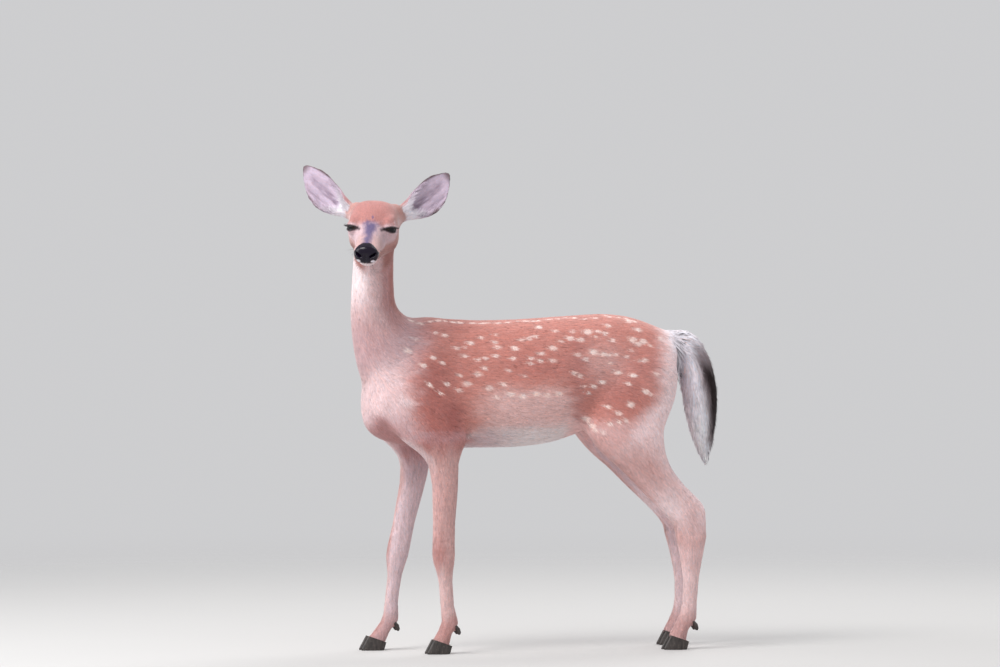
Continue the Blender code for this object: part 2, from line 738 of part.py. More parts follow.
def make_leg(skin, pair, side):
    """Upper leg, lower leg, two claws and two dewclaws."""
    region = {"fore": foreleg_cut, "hind": hindleg_cut}[pair]
    joint = {"fore": KNEE_CUT, "hind": HOCK_CUT}[pair]
    names = {"fore": ("forearm", "foreshank"), "hind": ("thigh", "hindshank")}[pair]
    whole = cut(copy_of(skin, f"{pair}leg"), region(side), "INTERSECT")
    if pair == "hind":
        cut(whole, tail_cut(GAP))
    upper = cut(copy_of(whole, f"{names[0]}_{side}"), lower_cut(joint, GAP))
    lower = cut(copy_of(whole, f"{names[1]}_{side}"), lower_cut(joint), "INTERSECT")
    bpy.data.objects.remove(whole)
    cut(lower, coronet_cut(pair, side, GAP))
    for place, sign in (("outer", SIDES[side]), ("inner", -SIDES[side])):
        claw = added(f"hoof_{pair}_{side}_{place}", claw_loft(pair, side, sign))
        cut(claw, coronet_cut(pair, side), "INTERSECT")
        dewclaw = dewclaw_loft(pair, side, sign)
        cut(lower, grown(dewclaw, GAP))
        added(f"dewclaw_{pair}_{side}_{place}", dewclaw)
    return upper


def dress(objects):
    slots = finishes()
    for made in objects:
        kind = made.name.split("_")[0]
        slot = {
            "tail": "tail_hair",
            "ear": "ear_skin",
            "eye": "eye",
            "hoof": "hoof",
            "dewclaw": "hoof",
        }.get(kind, "coat")
        made.data.materials.clear()
        made.data.materials.append(slots[slot])
        made.data.shade_smooth()
        made.data.set_sharp_from_angle(angle=SHARP)


def stand(objects):
    """Sets the model over its box's middle, through one empty that carries every piece."""
    points = [made.matrix_world @ v.co for made in objects for v in made.data.vertices]
    low = Vector(map(min, zip(*points)))
    high = Vector(map(max, zip(*points)))
    stance = added("stance", None)
    stance.location = (-(low.x + high.x) / 2, -(low.y + high.y) / 2, -low.z)
    for made in objects:
        made.parent = stance


def main():
    for old in list(bpy.data.objects):
        bpy.data.objects.remove(old)
    body = body_skin()
    head = head_skin()
    make_head(head)
    make_body(body)
    for pair in PAIRS:
        for side in SIDES:
            make_leg(body, pair, side)
    bpy.data.objects.remove(body)
    bpy.data.objects.remove(head)
    nodes = [made for made in bpy.context.scene.objects if made.type == "MESH"]
    dress(nodes)
    stand(nodes)


main()
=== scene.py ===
"""Dresses the white-tailed deer fawn: one skin, eyes, coat, lashes, hooves and a plain studio.

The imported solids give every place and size. The skin is drawn over the flesh and lies inside
it by the coat's depth. The coat is laid on the skin lock by lock, along the lie of the hair,
and skin and coat take their colours from the same markings.
"""

import math
from collections import namedtuple

import bmesh
import bpy
import numpy as np
from mathutils import Matrix, Vector
from mathutils.bvhtree import BVHTree


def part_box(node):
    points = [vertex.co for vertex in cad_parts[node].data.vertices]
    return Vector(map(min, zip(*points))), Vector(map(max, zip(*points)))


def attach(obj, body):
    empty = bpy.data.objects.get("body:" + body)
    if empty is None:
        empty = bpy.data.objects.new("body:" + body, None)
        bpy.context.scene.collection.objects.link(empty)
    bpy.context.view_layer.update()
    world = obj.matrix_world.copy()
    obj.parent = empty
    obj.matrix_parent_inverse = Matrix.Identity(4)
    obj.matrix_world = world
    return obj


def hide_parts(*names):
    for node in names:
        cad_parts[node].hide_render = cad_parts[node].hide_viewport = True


bl_info = {
    "name": "Deer fawn dressing",
    "version": (1, 0, 0),
    "blender": (4, 5, 0),
    "location": "View3D > Sidebar > Fawn",
    "description": "Skin, eyes, coat, hooves and studio for the standing deer fawn",
    "category": "Object",
}

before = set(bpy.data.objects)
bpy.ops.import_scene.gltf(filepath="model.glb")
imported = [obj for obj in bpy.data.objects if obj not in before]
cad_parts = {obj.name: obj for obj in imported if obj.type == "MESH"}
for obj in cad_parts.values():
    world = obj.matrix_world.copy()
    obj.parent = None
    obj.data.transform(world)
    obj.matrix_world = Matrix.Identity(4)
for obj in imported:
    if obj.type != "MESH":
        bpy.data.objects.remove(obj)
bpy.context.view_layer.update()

SIDES = {"left": 1, "right": -1}  # sign of the way from the midline
REGIONS = ("head", "ear", "neck", "trunk", "thigh", "forearm", "shank", "tail", "horn")
FLESH = (
    "head",
    "neck",
    "trunk",
    "tail",
    *(
        f"{part}_{side}"
        for part in ("ear", "forearm", "foreshank", "thigh", "hindshank")
        for side in SIDES
    ),
)

# --- places taken from the solids --------------------------------------------------------

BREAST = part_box("trunk")[0].x  # foremost point of the chest
MIDLINE = (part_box("trunk")[0].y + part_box("trunk")[1].y) / 2
HEAD_TURN = math.radians(68.5)  # as the solids hold it
HEAD_PITCH = math.radians(22)
HEAD_ROLL = math.radians(-3)
EYE_AT = Vector((0.1030, 0.0355, 0.0180))  # the left eye in the head's own axes
EYE_RADIUS = (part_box("eye_left")[1].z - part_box("eye_left")[0].z) / 2
HEAD_AXES = (
    Matrix.Rotation(math.pi + HEAD_TURN, 3, "Z")
    @ Matrix.Rotation(HEAD_PITCH, 3, "Y")
    @ Matrix.Rotation(HEAD_ROLL, 3, "X")
)
HEAD = np.array(HEAD_AXES)
AHEAD, LEFTWARD, UPWARD = HEAD.T
TAIL_LOW, TAIL_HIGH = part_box("tail")


def middle(node):
    low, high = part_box(node)
    return (low + high) / 2


EYES = {side: middle(f"eye_{side}") for side in SIDES}
BETWEEN_EYES = (EYES["left"] + EYES["right"]) / 2
HEAD_ORIGIN = BETWEEN_EYES - HEAD_AXES @ Vector((EYE_AT.x, 0, EYE_AT.z))


def in_head(points):
    """Points in the head's own axes: +X to the nose, +Y to its left, +Z up."""
    return (points - np.array(HEAD_ORIGIN)) @ HEAD


def in_body(points):
    """Points as distance behind the breast, distance to the left of the midline, height."""
    return np.stack([points[:, 0] - BREAST, MIDLINE - points[:, 1], points[:, 2]], 1)


# --- number helpers ----------------------------------------------------------------------


def smooth(low, high, value):
    """0 below low, 1 above high and an even S between; low may be the larger."""
    t = np.clip((value - low) / (high - low), 0, 1)
    return t * t * (3 - 2 * t)


def hill(value, centre, width):
    return np.exp(-(((value - centre) / width) ** 2))


def unit(vectors):
    return vectors / np.maximum(np.linalg.norm(vectors, axis=1, keepdims=True), 1e-9)


def flat_on(vectors, normals):
    """The part of each vector that lies in the surface."""
    return vectors - normals * np.sum(vectors * normals, 1, keepdims=True)


def noise3(points, scale, seed=0):
    """Smooth noise, about -1 to 1, from a few crossed waves."""
    rng = np.random.default_rng(seed)
    total = np.zeros(len(points))
    for k in range(7):
        way = rng.normal(size=3)
        way /= np.linalg.norm(way)
        phase = rng.random() * 2 * math.pi
        turn = points @ way * (2 * math.pi / scale) * (0.7 + 0.12 * k)
        bend = 1.3 * np.sin(points @ np.roll(way, 1) * (2 * math.pi / scale) * 0.6 + phase)
        total += np.sin(turn + bend + phase)
    return total / 4.0


# --- mesh helpers ------------------------------------------------------------------------


def column(data, name, width, kind=np.float32):
    """One field of a Blender collection as an array."""
    flat = np.empty(len(data) * width, kind)
    data.foreach_get(name, flat)
    return flat.reshape(-1, width) if width > 1 else flat


def points_of(mesh):
    return column(mesh.vertices, "co", 3).astype(float)


def move_points(mesh, points):
    mesh.vertices.foreach_set("co", points.astype(np.float32).ravel())
    mesh.update()


def normals_of(mesh):
    return column(mesh.vertex_normals, "vector", 3).astype(float)


def triangles_of(mesh):
    mesh.calc_loop_triangles()
    return column(mesh.loop_triangles, "vertices", 3, np.int32)


class Web:
    """Which points of a mesh are joined, for averaging each over its neighbours."""

    def __init__(self, mesh):
        ends = column(mesh.edges, "vertices", 2, np.int32)
        here = np.concatenate([ends[:, 0], ends[:, 1]])
        there = np.concatenate([ends[:, 1], ends[:, 0]])
        order = np.argsort(here, kind="stable")
        self.there = there[order]
        self.count = np.maximum(np.bincount(here, minlength=len(mesh.vertices)), 1)
        self.start = np.concatenate([[0], np.cumsum(self.count)[:-1]])

    def mean(self, values):
        total = np.add.reduceat(values[self.there], self.start, axis=0)
        return total / self.count.reshape(-1, *([1] * (values.ndim - 1)))

    def spread(self, values, rounds, share=0.5):
        for _ in range(rounds):
            values = values + (self.mean(values) - values) * share
        return values


def store(mesh, name, kind, values):
    layer = mesh.attributes.new(name, kind, "POINT")
    field = "vector" if kind == "FLOAT_VECTOR" else "value"
    layer.data.foreach_set(field, np.ascontiguousarray(values, np.float32).ravel())


def paint(mesh, colours, name="Markings"):
    """Colours for the points, linear and opaque."""
    layer = mesh.color_attributes.new(name, "FLOAT_COLOR", "POINT")
    full = np.ones((len(colours), 4), np.float32)
    full[:, :3] = np.clip(colours, 0, 1)
    layer.data.foreach_set("color", full.ravel())


def drawn(build, name):
    """A new mesh from a bmesh that is finished with."""
    mesh = bpy.data.meshes.new(name)
    build.to_mesh(mesh)
    build.free()
    return mesh


def placed(name, data):
    """A new object in the scene."""
    made = bpy.data.objects.new(name, data)
    bpy.context.scene.collection.objects.link(made)
    return made


def linked(name, mesh, material):
    """A new piece of the model, riding on its only body."""
    piece = placed(name, mesh)
    mesh.materials.append(material)
    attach(piece, "root")
    return piece


def surface(points, faces):
    """A surface to look for the nearest place on."""
    return BVHTree.FromPolygons(points.tolist(), faces.tolist())


def nearest(tree, points, height):
    """Points set at a height over the nearest place of a surface, and the way it faces there."""
    found = [tree.find_nearest(p)[:2] for p in points.tolist()]
    at = np.array([f[0] for f in found])
    out = np.array([f[1] for f in found])
    return at + out * np.asarray(height)[..., None], out


def face_normals(points, faces):
    """Each triangle's normal, twice as long as its area."""
    corners = points[faces]
    return np.cross(corners[:, 1] - corners[:, 0], corners[:, 2] - corners[:, 0])


def settled(piece):
    """Applies the object's modifiers."""
    bpy.context.view_layer.update()
    graph = bpy.context.evaluated_depsgraph_get()
    mesh = bpy.data.meshes.new_from_object(piece.evaluated_get(graph))
    piece.modifiers.clear()
    old = piece.data
    piece.data = mesh
    bpy.data.meshes.remove(old)
    return mesh


# --- which part of the body a point belongs to -------------------------------------------


OTHER_REGIONS = {"foreshank": "shank", "hindshank": "shank", "hoof": "horn", "dewclaw": "horn", "eye": "head"}


def region_of(node):
    kind = node.split("_")[0]
    return OTHER_REGIONS.get(kind, kind)


def welded(node):
    """A bmesh of a solid with its split corners joined."""
    build = bmesh.new()
    build.from_mesh(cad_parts[node].data)
    bmesh.ops.remove_doubles(build, verts=build.verts, dist=1e-5)
    return build


class Flesh:
    """The solids' surfaces, to ask which region is nearest to a point."""

    def __init__(self):
        points, faces, self.regions = [], [], []
        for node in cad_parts:
            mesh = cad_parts[node].data
            corners = triangles_of(mesh)
            faces.append(corners + sum(map(len, points)))
            points.append(points_of(mesh))
            self.regions += [REGIONS.index(region_of(node))] * len(corners)
        self.regions = np.array(self.regions)
        self.tree = surface(np.concatenate(points), np.concatenate(faces))

    def region(self, points):
        near = [self.tree.find_nearest(p)[2] for p in points.tolist()]
        return self.regions[near]


def shares(regions, web, rounds):
    """How much each point belongs to each region, blended across their borders."""
    sharp = np.eye(len(REGIONS))[regions]
    return web.spread(sharp, rounds)


def share_of(parts, name):
    """How much each point belongs to one region."""
    return parts[:, REGIONS.index(name)]


def by_region(parts, **values):
    """A number for each point from one for each region."""
    return parts @ np.array([values.get(name, 0.0) for name in REGIONS])


# --- sizes and colours that a user may change --------------------------------------------


def colour(name, default, description):
    label = name.replace("_", " ").capitalize()
    return bpy.props.FloatVectorProperty(
        name=label, subtype="COLOR", size=3, min=0, max=1, default=default, description=description
    )


def length(name, default, description):
    return bpy.props.FloatProperty(
        name=name, unit="LENGTH", min=0, default=default, description=description
    )


class FawnSizes(bpy.types.PropertyGroup):
    grain: length("Skin grain", 0.0021, "Distance between the skin's points before thinning")
    lid: length("Lid thickness", 0.0013, "Eyelid's thickness over the eyeball")
    depth_body: length("Body coat", 0.0034, "Depth of the coat on neck, trunk and thighs")
    depth_head: length("Head coat", 0.0022, "Depth of the coat on the face")
    depth_leg: length("Leg coat", 0.0024, "Depth of the coat on the legs")
    depth_ear: length("Ear coat", 0.0009, "Depth of the hair on the ears")
    depth_tail: length("Tail coat", 0.0130, "Depth of the long hair round the tail")
    density: bpy.props.FloatProperty(
        name="Coat density", min=0.01, default=1.0, description="Share of the full number of locks"
    )
    camera_distance: length("Camera distance", 14.58, "From the camera to the fawn")


COLOURS = {
    "chestnut": ((0.57, 0.230, 0.195), "Back and sides"),
    "russet": ((0.37, 0.122, 0.108), "Deep red of shoulder and thigh"),
    "rose": ((0.72, 0.450, 0.430), "Lower flank"),
    "ham": ((0.93, 0.69, 0.70), "Pale back of the thigh"),
    "belly": ((0.70, 0.60, 0.60), "Under the body"),
    "cream": ((0.86, 0.70, 0.72), "Chest and front of the throat"),
    "spot": ((0.97, 0.78, 0.735), "Spots of the first coat"),
    "withers": ((0.47, 0.295, 0.320), "Grey cast over the shoulders"),
    "throat": ((0.66, 0.465, 0.475), "Pinkish grey of throat and chest"),
    "neck_side": ((0.47, 0.255, 0.255), "Grey brown down the neck"),
    "nape": ((0.40, 0.165, 0.150), "Red brown of the nape"),
    "haunch": ((0.72, 0.430, 0.415), "Tan below and behind the red haunch"),
    "leg": ((0.62, 0.365, 0.350), "Front and outside of the legs"),
    "shin": ((0.69, 0.46, 0.45), "Cannon bones"),
    "knee": ((0.45, 0.215, 0.200), "Knees and the backs of the pasterns"),
    "inner_leg": ((0.66, 0.50, 0.53), "Inside of the legs"),
    "crown": ((0.48, 0.210, 0.195), "Forehead and crown"),
    "cheek": ((0.50, 0.250, 0.225), "Red tan of the cheeks"),
    # painted shade: this colour darkens the angle of the jaw and the neck under it
    "jaw": ((0.30, 0.120, 0.110), "Darker hair at the angle of the jaw"),
    "face": ((0.67, 0.475, 0.510), "Pale hair round the eyes"),
    "muzzle": ((0.62, 0.40, 0.395), "Sides of the muzzle"),
    "bridge": ((0.100, 0.079, 0.200), "Blue grey down the nose"),
    "nose": ((0.006, 0.0025, 0.011), "Bare skin of the nose"),
    "rim": ((0.014, 0.006, 0.010), "Bare skin at the lids' edge"),
    "ear_inside": ((0.62, 0.50, 0.62), "Pale hair in the ears"),
    # ear_shade is thin dark hair and painted shade deep in the ears' hollow
    "ear_shade": ((0.21, 0.145, 0.205), "Thin dark hair deep in the ears"),
    "ear_rim": ((0.15, 0.095, 0.105), "Brown edge and tip of the ears"),
    "ear_back": ((0.30, 0.155, 0.140), "Back of the ears"),
    "tail_white": ((0.84, 0.79, 0.86), "Fringe and underside of the tail"),
    # tail_tip: the tail's hanging lower end painted whiter and bluer, as painted light
    "tail_tip": ((0.92, 0.91, 0.97), "Lower end of the tail"),
    "tail_brown": ((0.150, 0.088, 0.092), "Border of the stripe down the tail"),
    "tail_dark": ((0.018, 0.008, 0.009), "Stripe down the tail"),
    "horn": ((0.030, 0.024, 0.022), "Hooves and dewclaws"),
    "floor": ((0.58, 0.575, 0.57), "Studio floor"),
}


class FawnColours(bpy.types.PropertyGroup):
    __annotations__ = {name: colour(name, *row) for name, row in COLOURS.items()}


def sizes():
    return bpy.context.scene.fawn_sizes


def ink(name):
    return np.array(getattr(bpy.context.scene.fawn_colours, name))


# --- markings, shared by skin and coat ---------------------------------------------------

# Spots on the flank: millimetres behind the breast and above the floor, and tenths of a common
# spot's size and of full white.
FLANK_SPOTS = (
    (89, 632, 13, 6), (152, 669, 8, 6), (172, 664, 10, 8), (108, 656, 7, 4), (142, 618, 10, 9),
    (120, 602, 11, 10), (161, 607, 9, 8), (130, 562, 10, 10), (169, 563, 10, 8), (154, 544, 9, 8),
    (193, 637, 10, 5), (224, 648, 10, 9), (248, 658, 9, 7), (276, 649, 9, 6), (280, 639, 10, 8),
    (316, 636, 11, 10), (275, 621, 9, 10), (310, 615, 10, 9), (209, 621, 9, 8), (212, 639, 7, 4),
    (235, 612, 9, 7), (251, 616, 8, 5), (250, 596, 9, 8), (235, 583, 13, 5), (198, 580, 9, 5),
    (212, 563, 14, 5), (195, 550, 10, 5), (289, 562, 11, 6), (258, 554, 13, 4), (349, 615, 9, 7),
    (372, 625, 10, 7), (369, 610, 10, 7), (346, 604, 9, 5), (398, 636, 13, 7), (395, 610, 11, 5),
    (350, 657, 9, 6), (334, 653, 9, 5), (363, 660, 9, 6), (281, 664, 8, 4), (377, 679, 9, 10),
    (274, 535, 11, 4), (304, 541, 13, 6), (329, 536, 12, 6), (358, 541, 12, 6), (382, 538, 11, 5),
    (407, 541, 11, 7), (410, 671, 8, 6), (416, 650, 8, 4), (438, 656, 12, 8), (460, 653, 11, 6),
    (478, 669, 14, 8), (446, 670, 9, 5), (451, 622, 12, 4), (468, 613, 10, 6), (487, 627, 14, 8),
    (509, 622, 11, 7), (520, 621, 8, 7), (535, 621, 9, 5), (559, 617, 9, 5), (596, 609, 11, 6),
    (522, 604, 8, 7), (500, 670, 8, 7), (516, 666, 9, 7), (525, 681, 10, 7), (530, 651, 9, 6),
    (576, 690, 9, 8), (592, 672, 11, 9), (576, 651, 15, 7), (598, 648, 14, 7), (587, 642, 12, 6),
    (641, 654, 9, 5), (441, 584, 10, 7), (453, 578, 10, 6), (537, 584, 11, 10), (569, 578, 11, 10),
    (557, 561, 9, 8), (503, 564, 11, 10), (485, 555, 10, 10), (463, 556, 6, 8), (472, 542, 8, 9),
    (595, 544, 12, 9), (562, 517, 13, 8), (514, 512, 10, 9), (535, 499, 11, 6), (472, 487, 13, 6),
    (535, 481, 8, 8), (517, 477, 10, 7), (483, 473, 11, 7), (488, 464, 9, 7), (504, 459, 10, 6),
    (550, 484, 10, 4), (620, 580, 11, 4), (494, 659, 8, 5), (583, 608, 7, 4), (570, 630, 8, 4),
    (613, 640, 8, 4), (606, 538, 8, 5), (300, 590, 8, 4), (334, 578, 8, 4),
)
SPINE_SPOTS = 27  # in each of the two lines along the back
SPINE_FROM, SPINE_TO = 0.10, 0.61
SPINE_REACH = 0.027  # how far each line is from the midline
SPOT_LONG, SPOT_HIGH = 0.0056, 0.0040  # half length and half height of a flank spot


def spine_spots():
    """The two lines of spots along the back, each a little out of its place."""
    rng = np.random.default_rng(41)
    made = []
    for line in (-1, 1):
        for k in range(SPINE_SPOTS):
            place = SPINE_FROM + (SPINE_TO - SPINE_FROM) * (k + 0.25 * line) / SPINE_SPOTS
            reach = line * (SPINE_REACH + 0.004 * rng.normal())
            size = 0.75 + 0.35 * rng.random()
            made.append((place + 0.003 * rng.normal(), reach, size, 0.6 + 0.4 * rng.random()))
    return np.array(made)


def spot_share(body):
    """How much of the spots' colour each point takes."""
    behind, out, height = body.T
    # the far side's spots are set differently, and every outline is a little ragged
    behind = behind + np.where(out < 0, 0.011 * np.sin(height * 90), 0)
    wobble = noise3(body, 0.009, 5) * 0.0010
    total = np.zeros(len(body))
    flank = smooth(0.010, 0.030, np.abs(out))
    top = smooth(0.655, 0.675, height)
    flank_spots = np.array(FLANK_SPOTS) / (1000, 1000, 10, 10)
    for spots, across, cover in ((flank_spots, height, flank), (spine_spots(), out, top)):
        for place, level, size, white in spots:
            near = (np.abs(behind - place) < 0.03) & (np.abs(across - level) < 0.03)
            away = np.hypot(
                (behind[near] - place) / (SPOT_LONG * size),
                (across[near] + wobble[near] - level) / (SPOT_HIGH * size),
            )
            share = smooth(1.40, 0.70, away) * cover[near] * (0.35 + 0.65 * white)
            total[near] = np.maximum(total[near], share)
    return total


def layers(points, base):
    """A tint to start from, and a way to lay colours over it."""
    tint = np.broadcast_to(ink(base), points.shape).copy()

    def lay(name, share):
        tint[:] += (ink(name) - tint) * np.clip(share, 0, 1)[:, None]

    return tint, lay


def streaks(points):
    """Lighter and darker tones of hair, for points drawn together along the hair's lie."""
    return 1 + 0.10 * np.clip(noise3(points, 0.0065, 25), -1, 1)[:, None]


def head_markings(points, normals):
    head = in_head(points)
    ahead, out, up = head[:, 0], np.abs(head[:, 1]), head[:, 2]
    facing = normals @ HEAD
    ragged = noise3(head, 0.018, 9)
    tint, lay = layers(points, "crown")
    # red crown down to a ragged edge over the eyes, with a point between them
    brow = 0.0265 + 0.28 * np.maximum(0.108 - ahead, 0) + 0.0016 * ragged
    lay("cheek", smooth(brow + 0.003, brow - 0.007, up) * smooth(0.100, 0.080, ahead))
    face = smooth(0.076, 0.094, ahead + 0.002 * ragged)
    fine = noise3(head, 0.006, 19)
    front = 0.1150 - 0.20 * np.maximum(out - 0.010, 0) + 0.0030 * ragged + 0.0012 * fine
    lay("face", smooth(brow + 0.004, brow - 0.007, up) * face)
    lay("face", smooth(front - 0.005, front + 0.007, ahead) * 0.95)
    lay("cream", 0.6 * smooth(0.040, 0.050, out) * hill(ahead, 0.060, 0.022) * hill(up, 0.010, 0.014))
    lay("muzzle", smooth(0.134, 0.160, ahead + 0.003 * ragged))
    # red tan cheek, below a line from under the eye to the corner of the mouth, and painted shade under the
    # angle of the jaw
    line = -0.0125 - 0.10 * np.maximum(ahead - 0.115, 0) + 0.0035 * ragged
    lay("cheek", smooth(line + 0.009, line - 0.008, up) * smooth(0.174, 0.150, ahead))
    lay("cheek", 0.7 * smooth(0.058, 0.070, ahead) * smooth(0.092, 0.078, ahead) * smooth(0.02, 0, up))
    lay("jaw", 0.75 * hill(ahead, 0.084, 0.026) * smooth(-0.018, -0.032, up))
    # grey bridge, widest between the eyes
    top = smooth(0.15, 0.6, facing[:, 2])
    wide = 0.0150 - 0.180 * np.maximum(ahead - 0.120, 0)
    wide = np.maximum(wide, 0.0078) + 0.0024 * ragged + 0.0016 * fine
    start = smooth(0.1060, 0.1220, ahead + 0.003 * ragged + 0.002 * fine)
    bridge = smooth(wide + 0.0085, wide - 0.0085, out) * start
    lay("bridge", 0.92 * bridge * top)
    speck = np.hypot(head[:, 0] - 0.104, (head[:, 1] - 0.003) * 1.6) / 0.0045
    lay("bridge", 0.75 * smooth(1.2, 0.4, speck + 0.25 * ragged) * top)
    # pale chin and throat, and a white patch below each side of the nose
    lay("cream", smooth(-0.45, -0.85, facing[:, 2]) * smooth(0.125, 0.150, ahead))
    lay("throat", smooth(0.026, 0.010, out) * smooth(-0.044, -0.056, up))
    # painted shade of the jaw on the top of the neck
    lay("jaw", 0.6 * smooth(0.016, 0.030, out) * smooth(-0.040, -0.056, up) * smooth(0.12, 0.09, ahead))
    lay("cream", smooth(0.148, 0.166, ahead) * smooth(-0.0225, -0.0265, up))
    lay("tail_white", lip_patch(head))
    # dark corners of the eyes, towards the nose
    for side in SIDES:
        corner = np.array([0.1165, 0.0290 * SIDES[side], 0.0222])
        gap = (head - corner) * np.array([1.0, 1.0, 1.7])
        lay("rim", 0.9 * smooth(1.25, 0.55, np.linalg.norm(gap, axis=1) / 0.0038))
        lay("rim", 0.9 * smooth(0.30, 0.08, off_lids(points, side)))
    nape = smooth(0.036, 0.004, ahead)[:, None]
    return (1 - nape) * tint + nape * neck_markings(points, normals)


def lip_patch(head):
    """The small white patch on the lip below each nostril."""
    out, up = np.abs(head[:, 1]), head[:, 2]
    away = np.hypot((out - 0.0150) / 0.0042, (up + 0.0150) / 0.0036)
    return smooth(1.3, 0.75, away) * smooth(0.165, 0.180, head[:, 0])


def nose_share(points):
    """1 on the bare skin of the nose, 0 where hair grows."""
    head = in_head(points)
    ahead, out, up = head[:, 0], np.abs(head[:, 1]), head[:, 2]
    ragged = noise3(head, 0.008, 12)
    edge = 0.1835 + 0.62 * np.maximum(out - 0.009, 0) * smooth(-0.004, 0.006, up)
    edge = edge - 2.4 * np.clip(out - 0.0165, 0, 0.008) * smooth(-0.002, -0.008, up)
    edge = edge + 0.0006 * ragged
    bottom = -0.0235 + 0.35 * np.maximum(out - 0.011, 0)
    low = smooth(bottom - 0.0012, bottom + 0.0012, up)
    return smooth(edge - 0.0014, edge + 0.0014, ahead) * low * (1 - lip_patch(head))


def neck_markings(points, normals):
    """Pale down the throat, grey brown at the sides, red brown only along the nape."""
    around = normals @ unit(np.array([[-1.0, -0.42, 0.15]]))[0]
    ragged = noise3(points * np.array([1, 1, 0.22]), 0.022, 3)
    fine = noise3(points * np.array([1, 1, 0.12]), 0.007, 13)
    toward = around + 0.10 * ragged + 0.05 * fine
    low = smooth(0.74, 0.64, points[:, 2])
    tint, lay = layers(points, "nape")
    lay("neck_side", smooth(-0.52 - 0.2 * low, -0.10 - 0.2 * low, toward))
    lay("throat", smooth(-0.05, 0.50, toward))
    lay("cream", smooth(0.50, 0.88, toward) * smooth(0.700, 0.775, points[:, 2] + 0.01 * ragged))
    lay("neck_side", 0.60 * smooth(0.74, 0.67, points[:, 2]))
    lay("withers", 0.40 * smooth(0.70, 0.64, points[:, 2]))
    return tint * streaks(points * np.array([1, 1, 0.15]))


def trunk_markings(points, normals):
    body = in_body(points)
    behind, _, height = body.T
    ragged = noise3(points * np.array([0.35, 1, 1]), 0.03, 2)
    streak = noise3(points * np.array([0.16, 1, 1]), 0.008, 14)
    level = height + 0.007 * ragged + 0.004 * streak
    tint, lay = layers(points, "chestnut")
    lay("russet", 0.35 * hill(level, 0.60, 0.03) * smooth(0.25, 0.35, behind))
    lay("withers", 0.85 * hill(behind, 0.080, 0.060) * smooth(0.600, 0.655, level))
    # shoulder, dark behind towards the flank
    lay("russet", 0.75 * hill(behind, 0.135, 0.055) * smooth(0.645, 0.585, level))
    lay("russet", hill(behind, 0.182, 0.026) * smooth(0.545, 0.500, level))
    lay("russet", 0.45 * hill(behind, 0.200, 0.035) * smooth(0.665, 0.682, level))
    # lower flank, paler in streaks, and the grey belly
    flank = smooth(0.200, 0.300, behind + 0.010 * ragged + 0.006 * streak + 0.11 * (height - 0.5))
    before = smooth(0.475, 0.430, behind + 0.006 * ragged)
    lay("rose", smooth(0.575, 0.525, level) * flank * before)
    lay("belly", smooth(0.478, 0.448, level) * flank * smooth(0.56, 0.50, behind))
    lay("belly", smooth(-0.35, -0.85, normals[:, 2]) * smooth(0.14, 0.22, behind))
    # painted shade: the front of the belly, under the chest, greyed and darkened
    lay("withers", 0.65 * smooth(0.475, 0.445, level) * smooth(0.36, 0.25, behind))
    # chest: pale in front, greyer where it meets the shoulder
    breast = behind + 0.010 * ragged + 0.008 * streak - 0.20 * np.maximum(height - 0.56, 0)
    lay("throat", smooth(0.132, 0.050, breast) * smooth(0.70, 0.64, level))
    lay("withers", 0.60 * hill(height, 0.640, 0.040) * smooth(0.13, 0.05, breast))
    lay("cream", 0.10 * smooth(0.100, 0.040, breast) * hill(level, 0.555, 0.042))
    lay("withers", 0.60 * smooth(0.120, 0.060, breast) * smooth(0.510, 0.470, level))
    # painted shade on the underside of the breast, deep red where it faces down
    lay("russet", 0.65 * smooth(-0.10, -0.60, normals[:, 2]) * smooth(0.150, 0.100, behind))
    swirl = np.hypot((behind - 0.080) / 1.6, height - 0.530 + 0.35 * (behind - 0.080)) / 0.011
    lay("cream", 0.35 * smooth(1.6, 0.4, swirl + 0.4 * ragged))
    # below the red of the haunch, and the pale hams behind it
    lay("haunch", smooth(0.505, 0.462, level) * smooth(0.42, 0.46, behind))
    edge = 0.638 - 0.95 * np.maximum(0.545 - height, 0) + 0.008 * ragged + 0.006 * streak
    edge = edge + 0.10 * np.maximum(height - 0.60, 0)
    lay("haunch", 0.8 * smooth(edge - 0.024, edge + 0.006, behind))
    lay("ham", smooth(edge - 0.008, edge + 0.032, behind))
    lay("cream", 0.60 * hill(behind, 0.657, 0.034) * hill(height, 0.555, 0.060))
    lay("russet", 0.45 * hill(behind, 0.545, 0.060) * hill(height, 0.535, 0.045))
    # painted highlight: a paler rose patch where the haunch's muscle rounds out towards the light
    lay("rose", 0.60 * hill(behind, 0.505, 0.055) * hill(height, 0.605, 0.042))
    lay("tail_white", 0.75 * smooth(0.652, 0.676, behind) * smooth(0.60, 0.64, height))
    # painted shade in the crease along the thigh's front edge, and in the hollow of the flank before the
    # thigh
    fold = np.hypot((behind - 0.462) / 0.020, (height - 0.487 + 0.5 * (behind - 0.462)) / 0.006)
    lay("russet", 0.6 * smooth(1.5, 0.4, fold))
    hollow_shade = hill(behind + 0.006 * ragged, 0.452, 0.020) * smooth(0.470, 0.510, height)
    lay("russet", 0.42 * hollow_shade * smooth(0.675, 0.640, height))
    tint *= streaks(points * np.array([0.15, 1, 1]))
    lay("spot", 0.95 * spot_share(body))
    return tint


